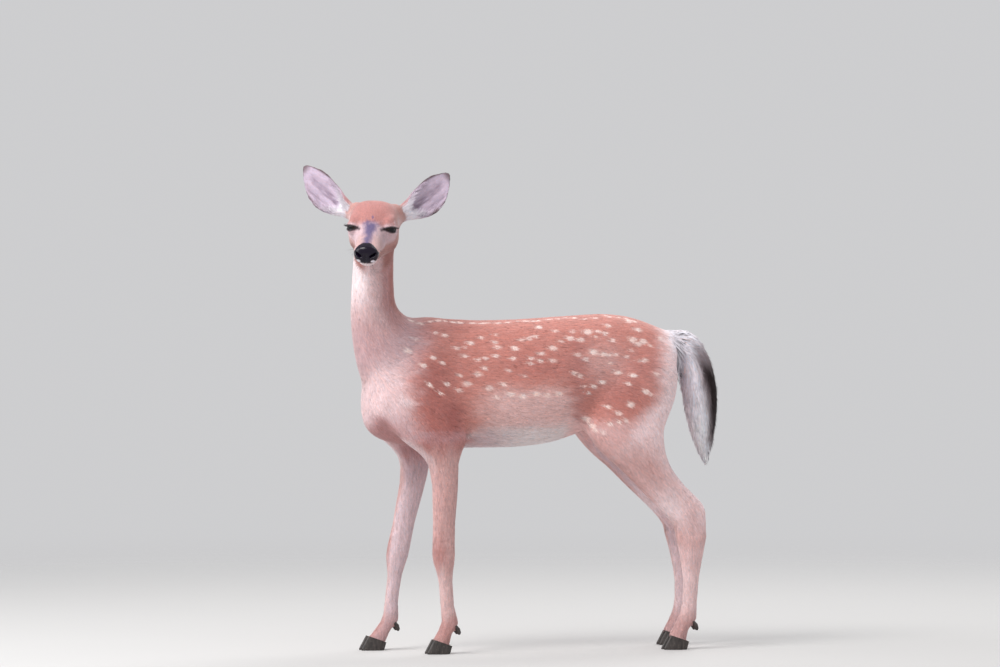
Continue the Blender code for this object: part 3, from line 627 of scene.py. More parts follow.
def leg_markings(points, normals):
    body = in_body(points)
    behind, out, height = body.T
    outward = -normals[:, 1] * np.sign(out)
    ragged = noise3(points * np.array([1, 1, 0.3]), 0.03, 4)
    tint, lay = layers(points, "leg")
    fore = smooth(0.35, 0.30, behind)
    level = height + 0.012 * ragged
    lay("russet", 0.8 * fore * smooth(0.385, 0.455, level))
    lay("cream", 0.8 * fore * smooth(0.20, 0.75, -normals[:, 0]) * smooth(0.37, 0.43, level))
    lay("knee", 0.9 * fore * hill(height, 0.208, 0.034) * smooth(-0.3, 0.4, -normals[:, 0]))
    lay("shin", smooth(0.185, 0.150, level) * smooth(0.06, 0.09, level))
    inner = smooth(0.15, 0.75, -outward + 0.15 * ragged)
    lay("inner_leg", inner)
    # painted shade on the upper inside of the legs, under the body
    lay("withers", 0.45 * inner * smooth(0.32, 0.39, level))
    lay("russet", 0.60 * fore * inner * smooth(0.375, 0.425, level))
    lay("ham", 0.8 * (1 - fore) * smooth(0.0, 0.65, normals[:, 0]) * smooth(0.24, 0.30, level))
    lay("knee", 0.65 * (1 - fore) * smooth(0.35, 0.85, -normals[:, 0]) * smooth(0.27, 0.36, level))
    lay("ham", 0.85 * (1 - fore) * hill(height, 0.290, 0.050) * smooth(-0.9, -0.2, normals[:, 0]))
    lay("ham", 0.45 * (1 - fore) * smooth(0.235, 0.200, level))
    lay("cream", 0.60 * (1 - fore) * hill(behind, 0.650, 0.024) * hill(height, 0.298, 0.040))
    lay("knee", 0.35 * (1 - fore) * hill(behind, 0.700, 0.018) * hill(height, 0.283, 0.030))
    lay("knee", 0.6 * smooth(0.095, 0.050, height))
    return tint * streaks(points * np.array([1, 1, 0.2]))


def thigh_markings(points, normals):
    """The flank's markings above and the leg's below, run together over the stifle."""
    height = points[:, 2] + 0.008 * noise3(points, 0.04, 15)
    share = smooth(0.470, 0.385, height)[:, None]
    return (1 - share) * trunk_markings(points, normals) + share * leg_markings(points, normals)


TAIL_JOINT = np.array([-0.987, 0.0, -0.16])  # the way the tail's flat end faces, in the rump


def tail_outline():
    """The tail's full outline, without the flat end by which it joins the rump."""
    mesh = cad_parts["tail"].data
    points, faces = points_of(mesh), triangles_of(mesh)
    joint = unit(face_normals(points, faces)) @ TAIL_JOINT > 0.995
    return surface(points, faces[~joint])


def tail_turn(points):
    """How far round the hanging tail each point is: 1 at its back, -1 at its front."""
    outline = points_of(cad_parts["tail"].data)
    levels = np.linspace(TAIL_LOW.z + 0.02, TAIL_HIGH.z - 0.02, 9)
    near = [outline[np.abs(outline[:, 2] - level) < 0.025, :2] for level in levels]
    middle = np.array([(ring.max(0) + ring.min(0)) / 2 for ring in near])
    half = np.array([(ring.max(0) - ring.min(0)) / 2 for ring in near])

    def off(axis):
        centre = np.interp(points[:, 2], levels, middle[:, axis])
        return (points[:, axis] - centre) / np.interp(points[:, 2], levels, half[:, axis])

    return off(0) / np.maximum(np.hypot(off(0), off(1)), 1e-6)


def down_tail(points):
    """How far down the tail each point is, 0 at its top and 1 at its lower end."""
    return (TAIL_HIGH.z - points[:, 2]) / (TAIL_HIGH.z - TAIL_LOW.z)


def tail_markings(points, _normals):
    """White, with a dark brown back that starts below the root and ends above the tip."""
    down = down_tail(points)
    ragged = noise3(points * np.array([1, 1, 0.14]), 0.010, 6)
    behind = tail_turn(points) + 0.08 * ragged - 0.28 * smooth(0.20, 0.80, down)
    down = down + 0.03 * ragged
    tint, lay = layers(points, "tail_white")
    # painted light: the lower end of the tail whiter and bluer
    lay("tail_tip", smooth(0.40, 0.80, down))
    lay("tail_brown", 0.8 * smooth(-0.45, 0.20, behind) * smooth(0.06, 0.20, down) * smooth(0.96, 0.80, down))
    lay("tail_dark", smooth(-0.12, 0.40, behind) * smooth(0.17, 0.36, down) * smooth(0.88, 0.72, down))
    return tint


EAR_ROOT = Vector((0.032, 0.040, 0.012))  # the left ear's root in the head's own axes
EAR_LENGTH = 0.158
EAR_WIDE = 0.0345  # from the ear's middle line to its edge, at its widest
EAR_MIDDLE = -0.0095  # how far its middle line is from its root, across


def ear_frame(side):
    """An ear's root, and its axes: to the tip, inwards, and the way it opens."""
    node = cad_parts[f"ear_{side}"]
    points = points_of(node.data)
    root = np.array(
        HEAD_ORIGIN + HEAD_AXES @ Vector((EAR_ROOT.x, EAR_ROOT.y * SIDES[side], EAR_ROOT.z))
    )
    far = points[np.argsort(np.linalg.norm(points - root, axis=1))[-40:]].mean(0)
    along = unit((far - root)[None])[0]
    opening = (AHEAD + 0.22 * LEFTWARD * SIDES[side]) * np.array([1, 1, 0])
    opening = unit((opening - along * (opening @ along))[None])[0]
    across = np.cross(opening, along) * SIDES[side]
    return root, np.stack([along, across, opening], 1)


EARS = {side: ear_frame(side) for side in SIDES}


def in_ear(points):
    """Points in the nearer ear's own axes, and which side's ear that is."""
    left = in_head(points)[:, 1] > 0
    local = np.empty_like(points)
    for side, mask in (("left", left), ("right", ~left)):
        root, axes = EARS[side]
        local[mask] = (points[mask] - root) @ axes
    return local, left


def ear_axis(left, axis):
    """One axis of the nearer ear for each point: 0 to the tip, 2 the way it opens."""
    return np.where(left[:, None], EARS["left"][1][:, axis], EARS["right"][1][:, axis])


def ear_half(along):
    """From the ear's middle line to its edge, at a share of its length."""
    return EAR_WIDE * np.sqrt(np.clip(1 - ((along - 0.52) / 0.52) ** 2, 0.02, 1))


def ear_markings(points, normals):
    local, left = in_ear(points)
    along = local[:, 0] / EAR_LENGTH
    across = local[:, 1]  # + towards the crown
    ragged = noise3(local * np.array([0.30, 1, 1]), 0.010, 8)
    fine = noise3(local * np.array([0.12, 1, 1]), 0.004, 18)
    inside = smooth(-0.10, 0.22, np.sum(normals * ear_axis(left, 2), 1))
    tint, lay = layers(points, "ear_back")
    lay("crown", 0.75 * smooth(0.62, 0.35, along))
    stalk = smooth(0.46, 0.22, along + 0.25 * np.maximum(0.012 - across, 0) / 0.012)
    upper = smooth(-0.004, 0.008, across)
    lay("ear_inside", inside * (1 - 0.9 * stalk * upper))
    # thin dark hair and painted shade, in streaks down the ear's hollow
    centre = -0.010 - 0.004 * np.sin(along * 4)
    streaks = hill(across, centre + 0.004, 0.0095) + 0.8 * hill(across, centre - 0.017, 0.0055)
    streaks = streaks * smooth(0.20, 0.34, along) * smooth(0.92, 0.72, along)
    lay("ear_shade", inside * streaks * np.clip(0.62 + 0.34 * ragged + 0.24 * fine, 0, 1))
    lay("tail_white", inside * smooth(0.34, 0.24, along + 0.03 * ragged) * smooth(0.012, 0.0, across))
    off = np.abs(across - EAR_MIDDLE) / ear_half(along)
    edge = smooth(0.78, 0.94, off) * smooth(0.30, 0.5, along)
    tip = smooth(0.88, 0.985, along)
    lay("ear_rim", 0.9 * np.maximum(tip, edge))
    return tint


PAINTERS = {
    "head": head_markings,
    "ear": ear_markings,
    "neck": neck_markings,
    "trunk": trunk_markings,
    "thigh": thigh_markings,
    "tail": tail_markings,
}


def markings(points, normals, parts):
    """The coat's colour at each point; parts says how much of it is head, ear and so on."""
    tint = np.zeros((len(points), 3))
    total = np.maximum(parts.sum(1), 1e-6)
    for name in REGIONS:
        share = share_of(parts, name)
        chosen = share > 1e-4
        if chosen.any():
            painted = PAINTERS.get(name, leg_markings)(points[chosen], normals[chosen])
            tint[chosen] += painted * (share[chosen] / total[chosen])[:, None]
    return tint


# --- materials ---------------------------------------------------------------------------


def wire(made, *inputs, **values):
    """Sets a node's inputs, in order or by name, and its properties; a node's output is linked."""
    sockets = list(zip(made.inputs, inputs))
    for name, value in values.items():
        if hasattr(made, name):
            setattr(made, name, value)
        else:
            sockets.append((made.inputs[name.replace("_", " ")], value))
    for socket, value in sockets:
        if isinstance(value, bpy.types.Node):
            value = next(output for output in value.outputs if output.enabled)
        if isinstance(value, bpy.types.NodeSocket):
            made.id_data.links.new(value, socket)
        else:
            socket.default_value = value
    return made


def node(tree, kind, *inputs, **values):
    return wire(tree.nodes.new("ShaderNode" + kind), *inputs, **values)


def place_in(tree):
    return node(tree, "TexCoord").outputs["Object"]


def noise(tree, place, scale, detail, roughness=0.5):
    return node(tree, "TexNoise", place, Scale=scale, Detail=detail, Roughness=roughness)


def ramp(tree, share, *stops):
    """A blend from one colour to another."""
    made = node(tree, "ValToRGB", share)
    for element, (place, tint) in zip(made.color_ramp.elements, stops):
        element.position = place
        element.color = (*tint, 1)
    return made


def mix(tree, kind, share, first, second):
    return node(tree, "Mix", data_type=kind, Factor=share, A=first, B=second)


def bump(tree, height, strength, distance):
    return node(tree, "Bump", Height=height, Strength=strength, Distance=distance)


def group(name, inputs, outputs):
    """An empty shader node group, its inputs' values inside and the node for its outputs."""
    made = bpy.data.node_groups.new(name, "ShaderNodeTree")
    for label, default in (*inputs.items(), *((label, None) for label in outputs)):
        way = "OUTPUT" if default is None else "INPUT"
        kind = "NodeSocketColor" if label == "Colour" else "NodeSocketFloat"
        socket = made.interface.new_socket(name=label, in_out=way, socket_type=kind)
        if default is not None:
            socket.default_value = default
    return made, made.nodes.new("NodeGroupInput").outputs, made.nodes.new("NodeGroupOutput")


def hair_variation(name):
    """Mottles a colour in soft patches and fine grain, as hair does."""
    inputs = {
        "Colour": (0.5, 0.5, 0.5, 1), "Grain scale": 900.0, "Grain amount": 0.25, "Patch amount": 0.15,
    }
    made, given, put = group(name, inputs, ("Colour", "Roughness", "Height"))
    place = place_in(made)
    grain = noise(made, place, given["Grain scale"], 3.0, 0.6)
    patch = noise(made, place, 38.0, 3.0, 0.55)

    def swing(pattern, amount):
        """Half, plus the pattern about its middle by an amount."""
        centred = node(made, "Math", pattern, 0.5, operation="SUBTRACT")
        return node(made, "Math", centred, given[amount], 0.5, operation="MULTIPLY_ADD")

    both = node(made, "Math", swing(grain, "Grain amount"), swing(patch, "Patch amount"), operation="ADD")
    tinted = node(made, "VectorMath", given["Colour"], operation="SCALE", Scale=both)
    wire(put, tinted, node(made, "MapRange", grain, To_Min=0.52, To_Max=0.78), grain)
    return made


def pebbled_skin(name):
    """The fine pebbled relief of bare damp skin: its height and where it shines."""
    made, given, put = group(name, {"Scale": 420.0}, ("Height", "Roughness"))
    cells = node(made, "TexVoronoi", place_in(made), feature="SMOOTH_F1", Scale=given["Scale"])
    wire(put, cells, node(made, "MapRange", cells, To_Min=0.14, To_Max=0.36))
    return made


def effect(tree, name, build, **values):
    """A node of a shared group, which is built when it is first needed."""
    made = bpy.data.node_groups.get(name) or build(name)
    return node(tree, "Group", node_tree=made, **values)


def hair_effect(tree, **values):
    marks = node(tree, "Attribute", attribute_name="Markings")
    return effect(tree, "Hair variation", hair_variation, Colour=marks, **values)


def skin_effect(tree, **values):
    return effect(tree, "Pebbled skin", pebbled_skin, **values)


def new_material(name):
    made = bpy.data.materials.new(name)
    made.use_nodes = True
    return made, made.node_tree, made.node_tree.nodes["Principled BSDF"]


def material(name, build):
    """A material by its name, which is built when it is first needed."""
    return bpy.data.materials.get(name) or build(name)


def hair_material(name):
    """Painted hair: the markings, mottled, with a soft bloom at the edges."""
    made, tree, shader = new_material(name)
    hair = hair_effect(tree, Patch_amount=0.18)
    wire(
        shader,
        Base_Color=hair,
        Roughness=hair.outputs["Roughness"],
        Normal=bump(tree, hair.outputs["Height"], 0.2, 0.0005),
        Specular_IOR_Level=0.22,
        Sheen_Weight=0.05 if name == "hair_tail" else 0.25,
        Sheen_Roughness=0.5,
    )
    return made


def skin_material():
    """Hair's colours where hair grows, and bare damp black skin on nose and lids."""
    made, tree, shader = new_material("skin")
    hair = hair_effect(tree, Grain_scale=700.0, Grain_amount=0.3)
    skin = skin_effect(tree)
    bare = node(tree, "Attribute", attribute_name="Bare").outputs["Fac"]

    def choice(name):
        return mix(tree, "FLOAT", bare, hair.outputs[name], skin.outputs[name])

    wire(
        shader,
        Base_Color=hair,
        Roughness=choice("Roughness"),
        Normal=bump(tree, choice("Height"), 0.5, 0.0006),
        Coat_Weight=node(tree, "Math", bare, 0.28, operation="MULTIPLY"),
        Coat_Roughness=0.11,
        Specular_IOR_Level=0.15,
    )
    return made


def horn_material():
    """Dark horn with fine growth lines down it and scuffed lower edges."""
    made, tree, shader = new_material("hoof_horn")
    place = place_in(tree)
    lines = noise(tree, node(tree, "Mapping", place, Scale=(260, 260, 40)), 1.0, 4.0, 0.6)
    scuffs = noise(tree, place, 160.0, 5.0, 0.7)
    grown = ramp(tree, lines, (0.35, ink("horn") * 0.6), (0.72, ink("horn") * 2.4))
    worn = node(tree, "MapRange", scuffs, From_Min=0.55, From_Max=0.75, To_Max=0.5)
    wire(
        shader,
        Base_Color=mix(tree, "RGBA", worn, grown, (0.16, 0.13, 0.115, 1)),
        Roughness=node(tree, "MapRange", scuffs, To_Min=0.3, To_Max=0.62),
        Normal=bump(tree, lines, 0.3, 0.0004),
    )
    return made


def eye_material(name):
    """A wet dark eye: brown iris round a wide level pupil, under a clear coat."""
    made, tree, shader = new_material(name)
    gaze = node(tree, "Attribute", attribute_name="Gaze").outputs["Vector"]

    def ring(along, high, softness):
        """1 outside an ellipse in the eye's plane, 0 inside."""
        place = node(tree, "VectorMath", gaze, (1 / along, 1 / high, 0), operation="MULTIPLY")
        size = node(tree, "VectorMath", place, operation="LENGTH")
        return node(tree, "MapRange", size, From_Min=1 - softness, From_Max=1 + softness)

    fibres = noise(tree, gaze, 9.0, 5.0, 0.7)
    iris = ramp(tree, fibres, (0, (0.010, 0.005, 0.004)), (1, (0.050, 0.022, 0.012)))
    coloured = mix(tree, "RGBA", ring(0.50, 0.30, 0.12), (0.002, 0.002, 0.004, 1), iris)
    wire(
        shader,
        Base_Color=mix(tree, "RGBA", ring(0.86, 0.86, 0.05), coloured, (0.030, 0.016, 0.020, 1)),
        Roughness=node(tree, "MapRange", fibres, To_Min=0.03, To_Max=0.12),
        Specular_IOR_Level=0.25,
        Coat_Weight=0.12,
        Coat_Roughness=0.02,
    )
    return made


def rim_material(name):
    """The bare edge of the lids."""
    made, tree, shader = new_material(name)
    skin = skin_effect(tree, Scale=900.0)
    wire(
        shader,
        Base_Color=(*ink("rim"), 1),
        Roughness=skin.outputs["Roughness"],
        Normal=bump(tree, skin, 0.3, 0.0003),
    )
    return made


def floor_material():
    """A pale matt floor that fades into the studio's background further out."""
    made, tree, shader = new_material("studio_floor")
    place = place_in(tree)
    away = node(tree, "VectorMath", place, operation="LENGTH")
    wire(
        shader,
        Base_Color=ramp(tree, noise(tree, place, 3.0, 4.0), (0, ink("floor") * 0.985), (1, ink("floor"))),
        Roughness=0.9,
        Alpha=node(
            tree, "MapRange", away, interpolation_type="SMOOTHERSTEP", From_Min=1.0, From_Max=5.0,
            To_Min=1.0, To_Max=0.0,
        ),
    )
    return made


# --- skin --------------------------------------------------------------------------------

SEAM = 0.0006  # the solids grow by this before they join, which closes the cuts
THINNED = 139_000  # triangles left in the skin before the face is refined
FACE_REACH = 0.026  # how far round each eye the skin is refined


def depths(parts):
    """The coat's depth at each point, from its share in each region."""
    size = sizes()
    return by_region(
        parts,
        head=size.depth_head,
        ear=size.depth_ear,
        neck=size.depth_body,
        trunk=size.depth_body,
        thigh=size.depth_body,
        forearm=size.depth_leg * 1.3,
        shank=size.depth_leg * 0.75,
        tail=size.depth_tail,
        horn=size.depth_leg * 0.75,
    )


def joined_flesh():
    """All flesh, grown by the seam, with balls over the eyes for the lids to be cut from."""
    joined = bmesh.new()
    grow = {name: SEAM for name in FLESH}
    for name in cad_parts:
        if region_of(name) == "horn":
            grow[name] = 0.0
        if name.startswith("eye"):
            grow[name] = sizes().lid + sizes().depth_head
    for name, by in grow.items():
        build = welded(name)
        build.normal_update()
        for vertex in build.verts:
            vertex.co += vertex.normal * by
        part = drawn(build, "part")
        joined.from_mesh(part)
        bpy.data.meshes.remove(part)
    return drawn(joined, "skin")


def softened(mesh, parts, web):
    """Rounds off the solids' facets, most on the trunk and least on legs and ears."""
    rate = by_region(
        parts, head=0.09, ear=0.05, neck=0.9, trunk=1.0, thigh=0.8, forearm=0.16, shank=0.05,
        tail=0.35, horn=0.03,
    )
    points = points_of(mesh)
    rate *= 0.25 + 0.75 * smooth(0.30, 0.46, points[:, 2])
    behind = smooth(0.050, 0.020, in_head(points)[:, 0])
    seam = 4 * share_of(parts, "head") * share_of(parts, "neck")
    rate = np.maximum(rate, 0.9 * seam * behind)
    for _ in range(90):
        points += (web.mean(points) - points) * (0.5 * rate)[:, None]
    move_points(mesh, points)


def sunk(mesh, parts, web):
    """Draws the skin in by the coat's depth."""
    depth = web.spread(depths(parts), 6)
    normals = normals_of(mesh)
    level = by_region(parts, shank=1.0, horn=1.0)
    normals[:, 2] *= 1 - level
    move_points(mesh, points_of(mesh) - normals * depth[:, None])


def thin(piece, parts):
    """Fewer triangles on the body, all of them kept on head and ears."""
    weights = np.clip(1 - by_region(parts, head=0.75, ear=0.75), 0, 1)
    fine = piece.vertex_groups.new(name="thin")
    steps = np.round(weights * 4) / 4
    for level in np.unique(steps):
        chosen = np.nonzero(steps == level)[0]
        fine.add(chosen.tolist(), float(level), "REPLACE")
    mesh = piece.data
    mesh.calc_loop_triangles()
    fewer = piece.modifiers.new("thin", "DECIMATE")
    fewer.ratio = THINNED / len(mesh.loop_triangles)
    fewer.vertex_group = fine.name
    fewer.vertex_group_factor = 1.0
    fewer.use_collapse_triangulate = True
    mesh = settled(piece)
    piece.vertex_groups.clear()
    return mesh


def refine(mesh, wanted):
    """Splits each face whose middle is wanted into four."""
    build = bmesh.new()
    build.from_mesh(mesh)
    faces = [face for face in build.faces if wanted(face.calc_center_median())]
    edges = {edge for face in faces for edge in face.edges}
    bmesh.ops.subdivide_edges(build, edges=list(edges), cuts=1, use_grid_fill=True)
    bmesh.ops.triangulate(build, faces=[face for face in build.faces if len(face.verts) > 3])
    build.to_mesh(mesh)
    build.free()


def refine_face(mesh):
    eyes = list(EYES.values())
    refine(mesh, lambda p: min((p - eye).length for eye in eyes) < FACE_REACH)
    refine(mesh, lambda p: min((p - eye).length for eye in eyes) < FACE_REACH * 0.75)
    tip = HEAD_ORIGIN + HEAD_AXES @ Vector((0.196, 0, -0.006))
    refine(mesh, lambda p: (p - tip).length < 0.034)


# The eye's own axes, in the head's: the way it looks, towards the nose, and up.
GAZE = Vector((0.76, 0.65, 0.08)).normalized()
LID_REACH = math.radians(65)  # from the middle of the eye to its corners
LID_UP = math.radians(21)  # how far the upper lid stands open
LID_DOWN = math.radians(12)
LID_TILT = math.radians(-14)  # front corner higher, against the head's own level


def eye_axes(side):
    """Columns: the way the eye looks, towards the nose, and up, in the model's axes."""
    look = HEAD_AXES @ Vector((GAZE.x, GAZE.y * SIDES[side], GAZE.z))
    nose = HEAD_AXES @ Vector((1, 0, -math.tan(LID_TILT)))
    nose = (nose - look * nose.dot(look)).normalized()
    up = nose.cross(look) * SIDES[side]
    return np.array(Matrix((look, nose, up)).transposed())


def lid_edge(across):
    """The lids' edges above and below, as angles, at an angle across the eye."""
    share = np.clip(1 - (across / LID_REACH) ** 2, 0, 1)
    return LID_UP * share**0.75, -LID_DOWN * share


def eye_angles(points, side):
    """Offsets from an eye, distances, angles across and above its middle, and what lies near."""
    offset = points - np.array(EYES[side])
    local = offset @ eye_axes(side)
    radius = np.linalg.norm(offset, axis=1)
    across = np.arctan2(local[:, 1], np.maximum(local[:, 0], 1e-4))
    rise = np.arctan2(local[:, 2], np.hypot(local[:, 0], local[:, 1]))
    near = (radius < EYE_RADIUS * 1.9) & (local[:, 0] > 0)
    return offset, radius, across, rise, near


def off_lids(points, side):
    """The angle from the slit between the lids, 0 inside it and large away from the eye."""
    _, _, across, rise, near = eye_angles(points, side)
    above, below = lid_edge(across)
    off = np.maximum(np.maximum(rise - above, below - rise), np.abs(across) - LID_REACH)
    return np.where(near, np.maximum(off, 0), 9.0)


def sculpt_lids(points, side):
    """Draws the skin over the eyeball, leaves the slit between the lids open, and folds it."""
    centre = np.array(EYES[side])
    offset, radius, across, rise, near = eye_angles(points, side)
    above, below = lid_edge(across)
    lid = EYE_RADIUS + sizes().lid
    # skin that would cut into the ball is lifted over it
    wanted = np.maximum(radius, lid)
    # a crease over the upper lid, and a softer one under the lower
    crease = hill(rise, above + 0.30, 0.085) * smooth(1.25, 0.7, np.abs(across))
    pouch = hill(rise, below - 0.34, 0.10) * smooth(1.15, 0.6, np.abs(across))
    wanted = np.maximum(wanted - 0.0011 * crease - 0.0007 * pouch, EYE_RADIUS + 0.0004)
    inside = (rise < above) & (rise > below) & (np.abs(across) < LID_REACH)
    wanted = np.where(inside, EYE_RADIUS - 0.0035, wanted)
    changed = near & (inside | (radius < lid + 0.004))
    out = points.copy()
    out[changed] = centre + offset[changed] * (wanted[changed] / radius[changed])[:, None]
    return out


def sculpt_muzzle(points):
    """Nostrils, the line of the mouth, the groove between the nostrils, and tear marks."""
    head = in_head(points)
    ahead, side, up = head[:, 0], np.sign(head[:, 1]), head[:, 2]
    out = np.abs(head[:, 1])
    inward = np.zeros_like(head)
    # the pad of the nose stands a little over the hair round it
    inward[:, 0] += 0.0010 * nose_share(points)
    # nostril: a comma that opens ahead and curls back and down at its outer end
    comma = np.hypot((out - 0.0150) / 0.0068, (up + 0.0010 - 0.45 * (out - 0.0150)) / 0.0036)
    hole = smooth(1.25, 0.30, comma) * smooth(0.180, 0.190, ahead)
    inward[:, 0] -= 0.0090 * hole
    inward[:, 1] -= 0.0020 * hole * side
    wing = hill(comma, 1.55, 0.35) * smooth(0.182, 0.192, ahead)
    inward[:, 0] += 0.0008 * wing
    # groove below the middle of the nose, and the closed mouth
    groove = hill(out, 0, 0.0014) * smooth(0.186, 0.194, ahead) * smooth(0.004, -0.004, up)
    inward[:, 0] -= 0.0014 * groove
    lips = -0.0255 + 0.035 * np.maximum(0.185 - ahead, 0)
    mouth = hill(up, lips, 0.0016) * smooth(0.120, 0.145, ahead)
    inward[:, 0] -= 0.0022 * mouth * smooth(0.170, 0.190, ahead)
    inward[:, 1] -= 0.0018 * mouth * side * smooth(0.004, 0.012, out)
    tear = np.hypot(ahead - 0.1265, up - 0.004 + 0.5 * (ahead - 0.1265)) / 0.005
    inward[:, 1] -= 0.0018 * smooth(1, 0, tear) * side
    return points + inward @ HEAD.T


def hair_lie(points, normals, parts):
    """Which way the hair lies before it is smoothed: nose to tail, and down the legs."""
    ways = {
        "head": -AHEAD + 0.15 * UPWARD,
        "neck": (0.35, 0.0, -0.94),
        "trunk": (0.97, 0.0, -0.20),
        "thigh": (0.62, 0.0, -0.78),
        "forearm": (0.10, 0.0, -1.0),
        "shank": (0.0, 0.0, -1.0),
        "tail": (0.12, 0.0, -1.0),
        "horn": (0.0, 0.0, -1.0),
        "ear": (0.0, 0.0, 0.0),
    }
    lie = parts @ np.array([ways[name] for name in REGIONS])
    body = in_body(points)
    shoulder = share_of(parts, "trunk") * smooth(0.22, 0.05, body[:, 0])
    lie += shoulder[:, None] * smooth(0.66, 0.50, body[:, 2])[:, None] * np.array([-0.55, 0, -0.75])
    crest = share_of(parts, "tail") * smooth(-0.05, -0.025, points[:, 2] - TAIL_HIGH.z)
    lie += crest[:, None] * np.array([1.3, 0, 0.5])
    lie += ear_axis(in_head(points)[:, 1] > 0, 0) * share_of(parts, "ear")[:, None]
    return unit(flat_on(lie, normals))


def make_skin():
    mesh = joined_flesh()
    piece = placed("skin", mesh)
    voxels = piece.modifiers.new("voxels", "REMESH")
    voxels.mode = "VOXEL"
    voxels.voxel_size = sizes().grain
    mesh = settled(piece)
    flesh = Flesh()
    web = Web(mesh)
    parts = shares(flesh.region(points_of(mesh)), web, 8)
    softened(mesh, parts, web)
    sunk(mesh, parts, web)
    mesh = thin(piece, parts)
    refine_face(mesh)
    points = points_of(mesh)
    for side in SIDES:
        points = sculpt_lids(points, side)
    points = sculpt_muzzle(points)
    move_points(mesh, points)
    mesh.shade_smooth()

    web = Web(mesh)
    regions = flesh.region(points)
    parts = shares(regions, web, 5)
    normals = normals_of(mesh)
    lie = hair_lie(points, normals, parts)
    lie = unit(flat_on(web.spread(lie, 60), normals))
    tint = markings(points, normals, parts)
    bare = nose_share(points)
    tint += (ink("nose") - tint) * bare[:, None]
    store(mesh, "Region", "FLOAT", regions)
    store(mesh, "Lie", "FLOAT_VECTOR", lie)
    store(mesh, "Bare", "FLOAT", bare)
    paint(mesh, tint)
    mesh.materials.append(skin_material())
    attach(piece, "root")
    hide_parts(*FLESH)
    return piece


# --- eyes --------------------------------------------------------------------------------


def make_eye(side):
    """A whole eyeball with a slightly raised clear front, and the bare rims of its lids."""
    axes = eye_axes(side)
    centre = np.array(EYES[side])
    turn = Matrix(axes.tolist()).to_4x4() @ Matrix.Rotation(math.pi / 2, 4, "Y")
    build = bmesh.new()
    bmesh.ops.create_uvsphere(
        build, u_segments=64, v_segments=40, radius=EYE_RADIUS - 0.0003,
        matrix=Matrix.Translation(EYES[side]) @ turn,
    )
    bmesh.ops.recalc_face_normals(build, faces=build.faces)
    mesh = drawn(build, f"eyeball_{side}")
    offset = points_of(mesh) - centre
    local = offset @ axes
    angle = np.arccos(np.clip(local[:, 0] / EYE_RADIUS, -1, 1))
    move_points(mesh, centre + offset * (1 + 0.028 * smooth(0.75, 0.25, angle))[:, None])
    store(mesh, "Gaze", "FLOAT_VECTOR", local[:, [1, 2, 0]] / EYE_RADIUS)
    mesh.shade_smooth()
    piece = linked(f"eyeball_{side}", mesh, material("eye_wet", eye_material))
    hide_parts(f"eye_{side}")
    make_rims(side, axes, centre)
    return piece


RIM_THICK = 0.00085  # half thickness of the bare edge of a lid
RIM_STEPS = 64
RIM_ROUND = 8


def outwards(across, rise):
    """The way out from the eye's middle, at angles across and above it, in the eye's axes."""
    return np.stack([np.cos(across) * np.cos(rise), np.sin(across) * np.cos(rise), np.sin(rise)], -1)


def make_rims(side, axes, centre):
    """A closed ring of bare skin along the edges of both lids."""
    turn = 2 * math.pi * np.arange(RIM_STEPS) / RIM_STEPS
    across = LID_REACH * np.cos(turn)
    above, below = lid_edge(across)
    ring = outwards(across, np.where(turn < math.pi, above, below)) @ axes.T
    side_way = np.cross(unit(np.roll(ring, -1, 0) - np.roll(ring, 1, 0)), ring)
    about = 2 * math.pi * np.arange(RIM_ROUND)[:, None] / RIM_ROUND
    radius = EYE_RADIUS + 0.0008 + RIM_THICK * np.sin(about)
    points = centre + ring[:, None] * radius + side_way[:, None] * RIM_THICK * np.cos(about)
    here = np.arange(RIM_STEPS * RIM_ROUND).reshape(RIM_STEPS, RIM_ROUND)
    on = np.roll(here, -1, 0)
    faces = np.stack([here, on, np.roll(on, -1, 1), np.roll(here, -1, 1)], -1)
    mesh = bpy.data.meshes.new(f"lid_rims_{side}")
    mesh.from_pydata(points.reshape(-1, 3).tolist(), [], faces.reshape(-1, 4).tolist())
    mesh.update()
    mesh.shade_smooth()
    build = bmesh.new()
    build.from_mesh(mesh)
    bmesh.ops.recalc_face_normals(build, faces=build.faces)
    build.to_mesh(mesh)
    build.free()
    return linked(f"lid_rims_{side}", mesh, material("lid_rim", rim_material))


# --- coat --------------------------------------------------------------------------------

# A kind of hair: length, width, how far apart its roots are, how high it stands as a share of
# the coat's depth, how far it strays sideways, and how much its locks differ in tone.
Hair = namedtuple("Hair", "region long wide apart stand stray tone")
COATS = {
    "coat_head": Hair("head", 0.0078, 0.0018, 0.00135, 0.34, 0.12, 0.075),
    "coat_ears": Hair("ear", 0.0088, 0.0018, 0.00150, 0.50, 0.12, 0.06),
    "coat_neck": Hair("neck", 0.0175, 0.0028, 0.00195, 0.34, 0.10, 0.065),
    "coat_trunk": Hair("trunk", 0.0185, 0.0031, 0.00235, 0.32, 0.09, 0.065),
    "coat_thighs": Hair("thigh", 0.0185, 0.0031, 0.00235, 0.32, 0.09, 0.065),
    "coat_forearms": Hair("forearm", 0.0125, 0.0025, 0.00195, 0.36, 0.09, 0.065),
    "coat_shanks": Hair("shank", 0.0100, 0.0021, 0.00170, 0.40, 0.09, 0.065),
    "coat_tail": Hair("tail", 0.0480, 0.0034, 0.00190, 0.95, 0.07, 0.07),
}
PIECE_LIMIT = 190_000  # triangles in one piece of coat
# locks are darker at the root, where it lies under other locks, and lighter towards the tip, also through the
# rings' tones: painted shade and painted light
ROOT_SHADE, TIP_LIGHT = 0.92, 1.04


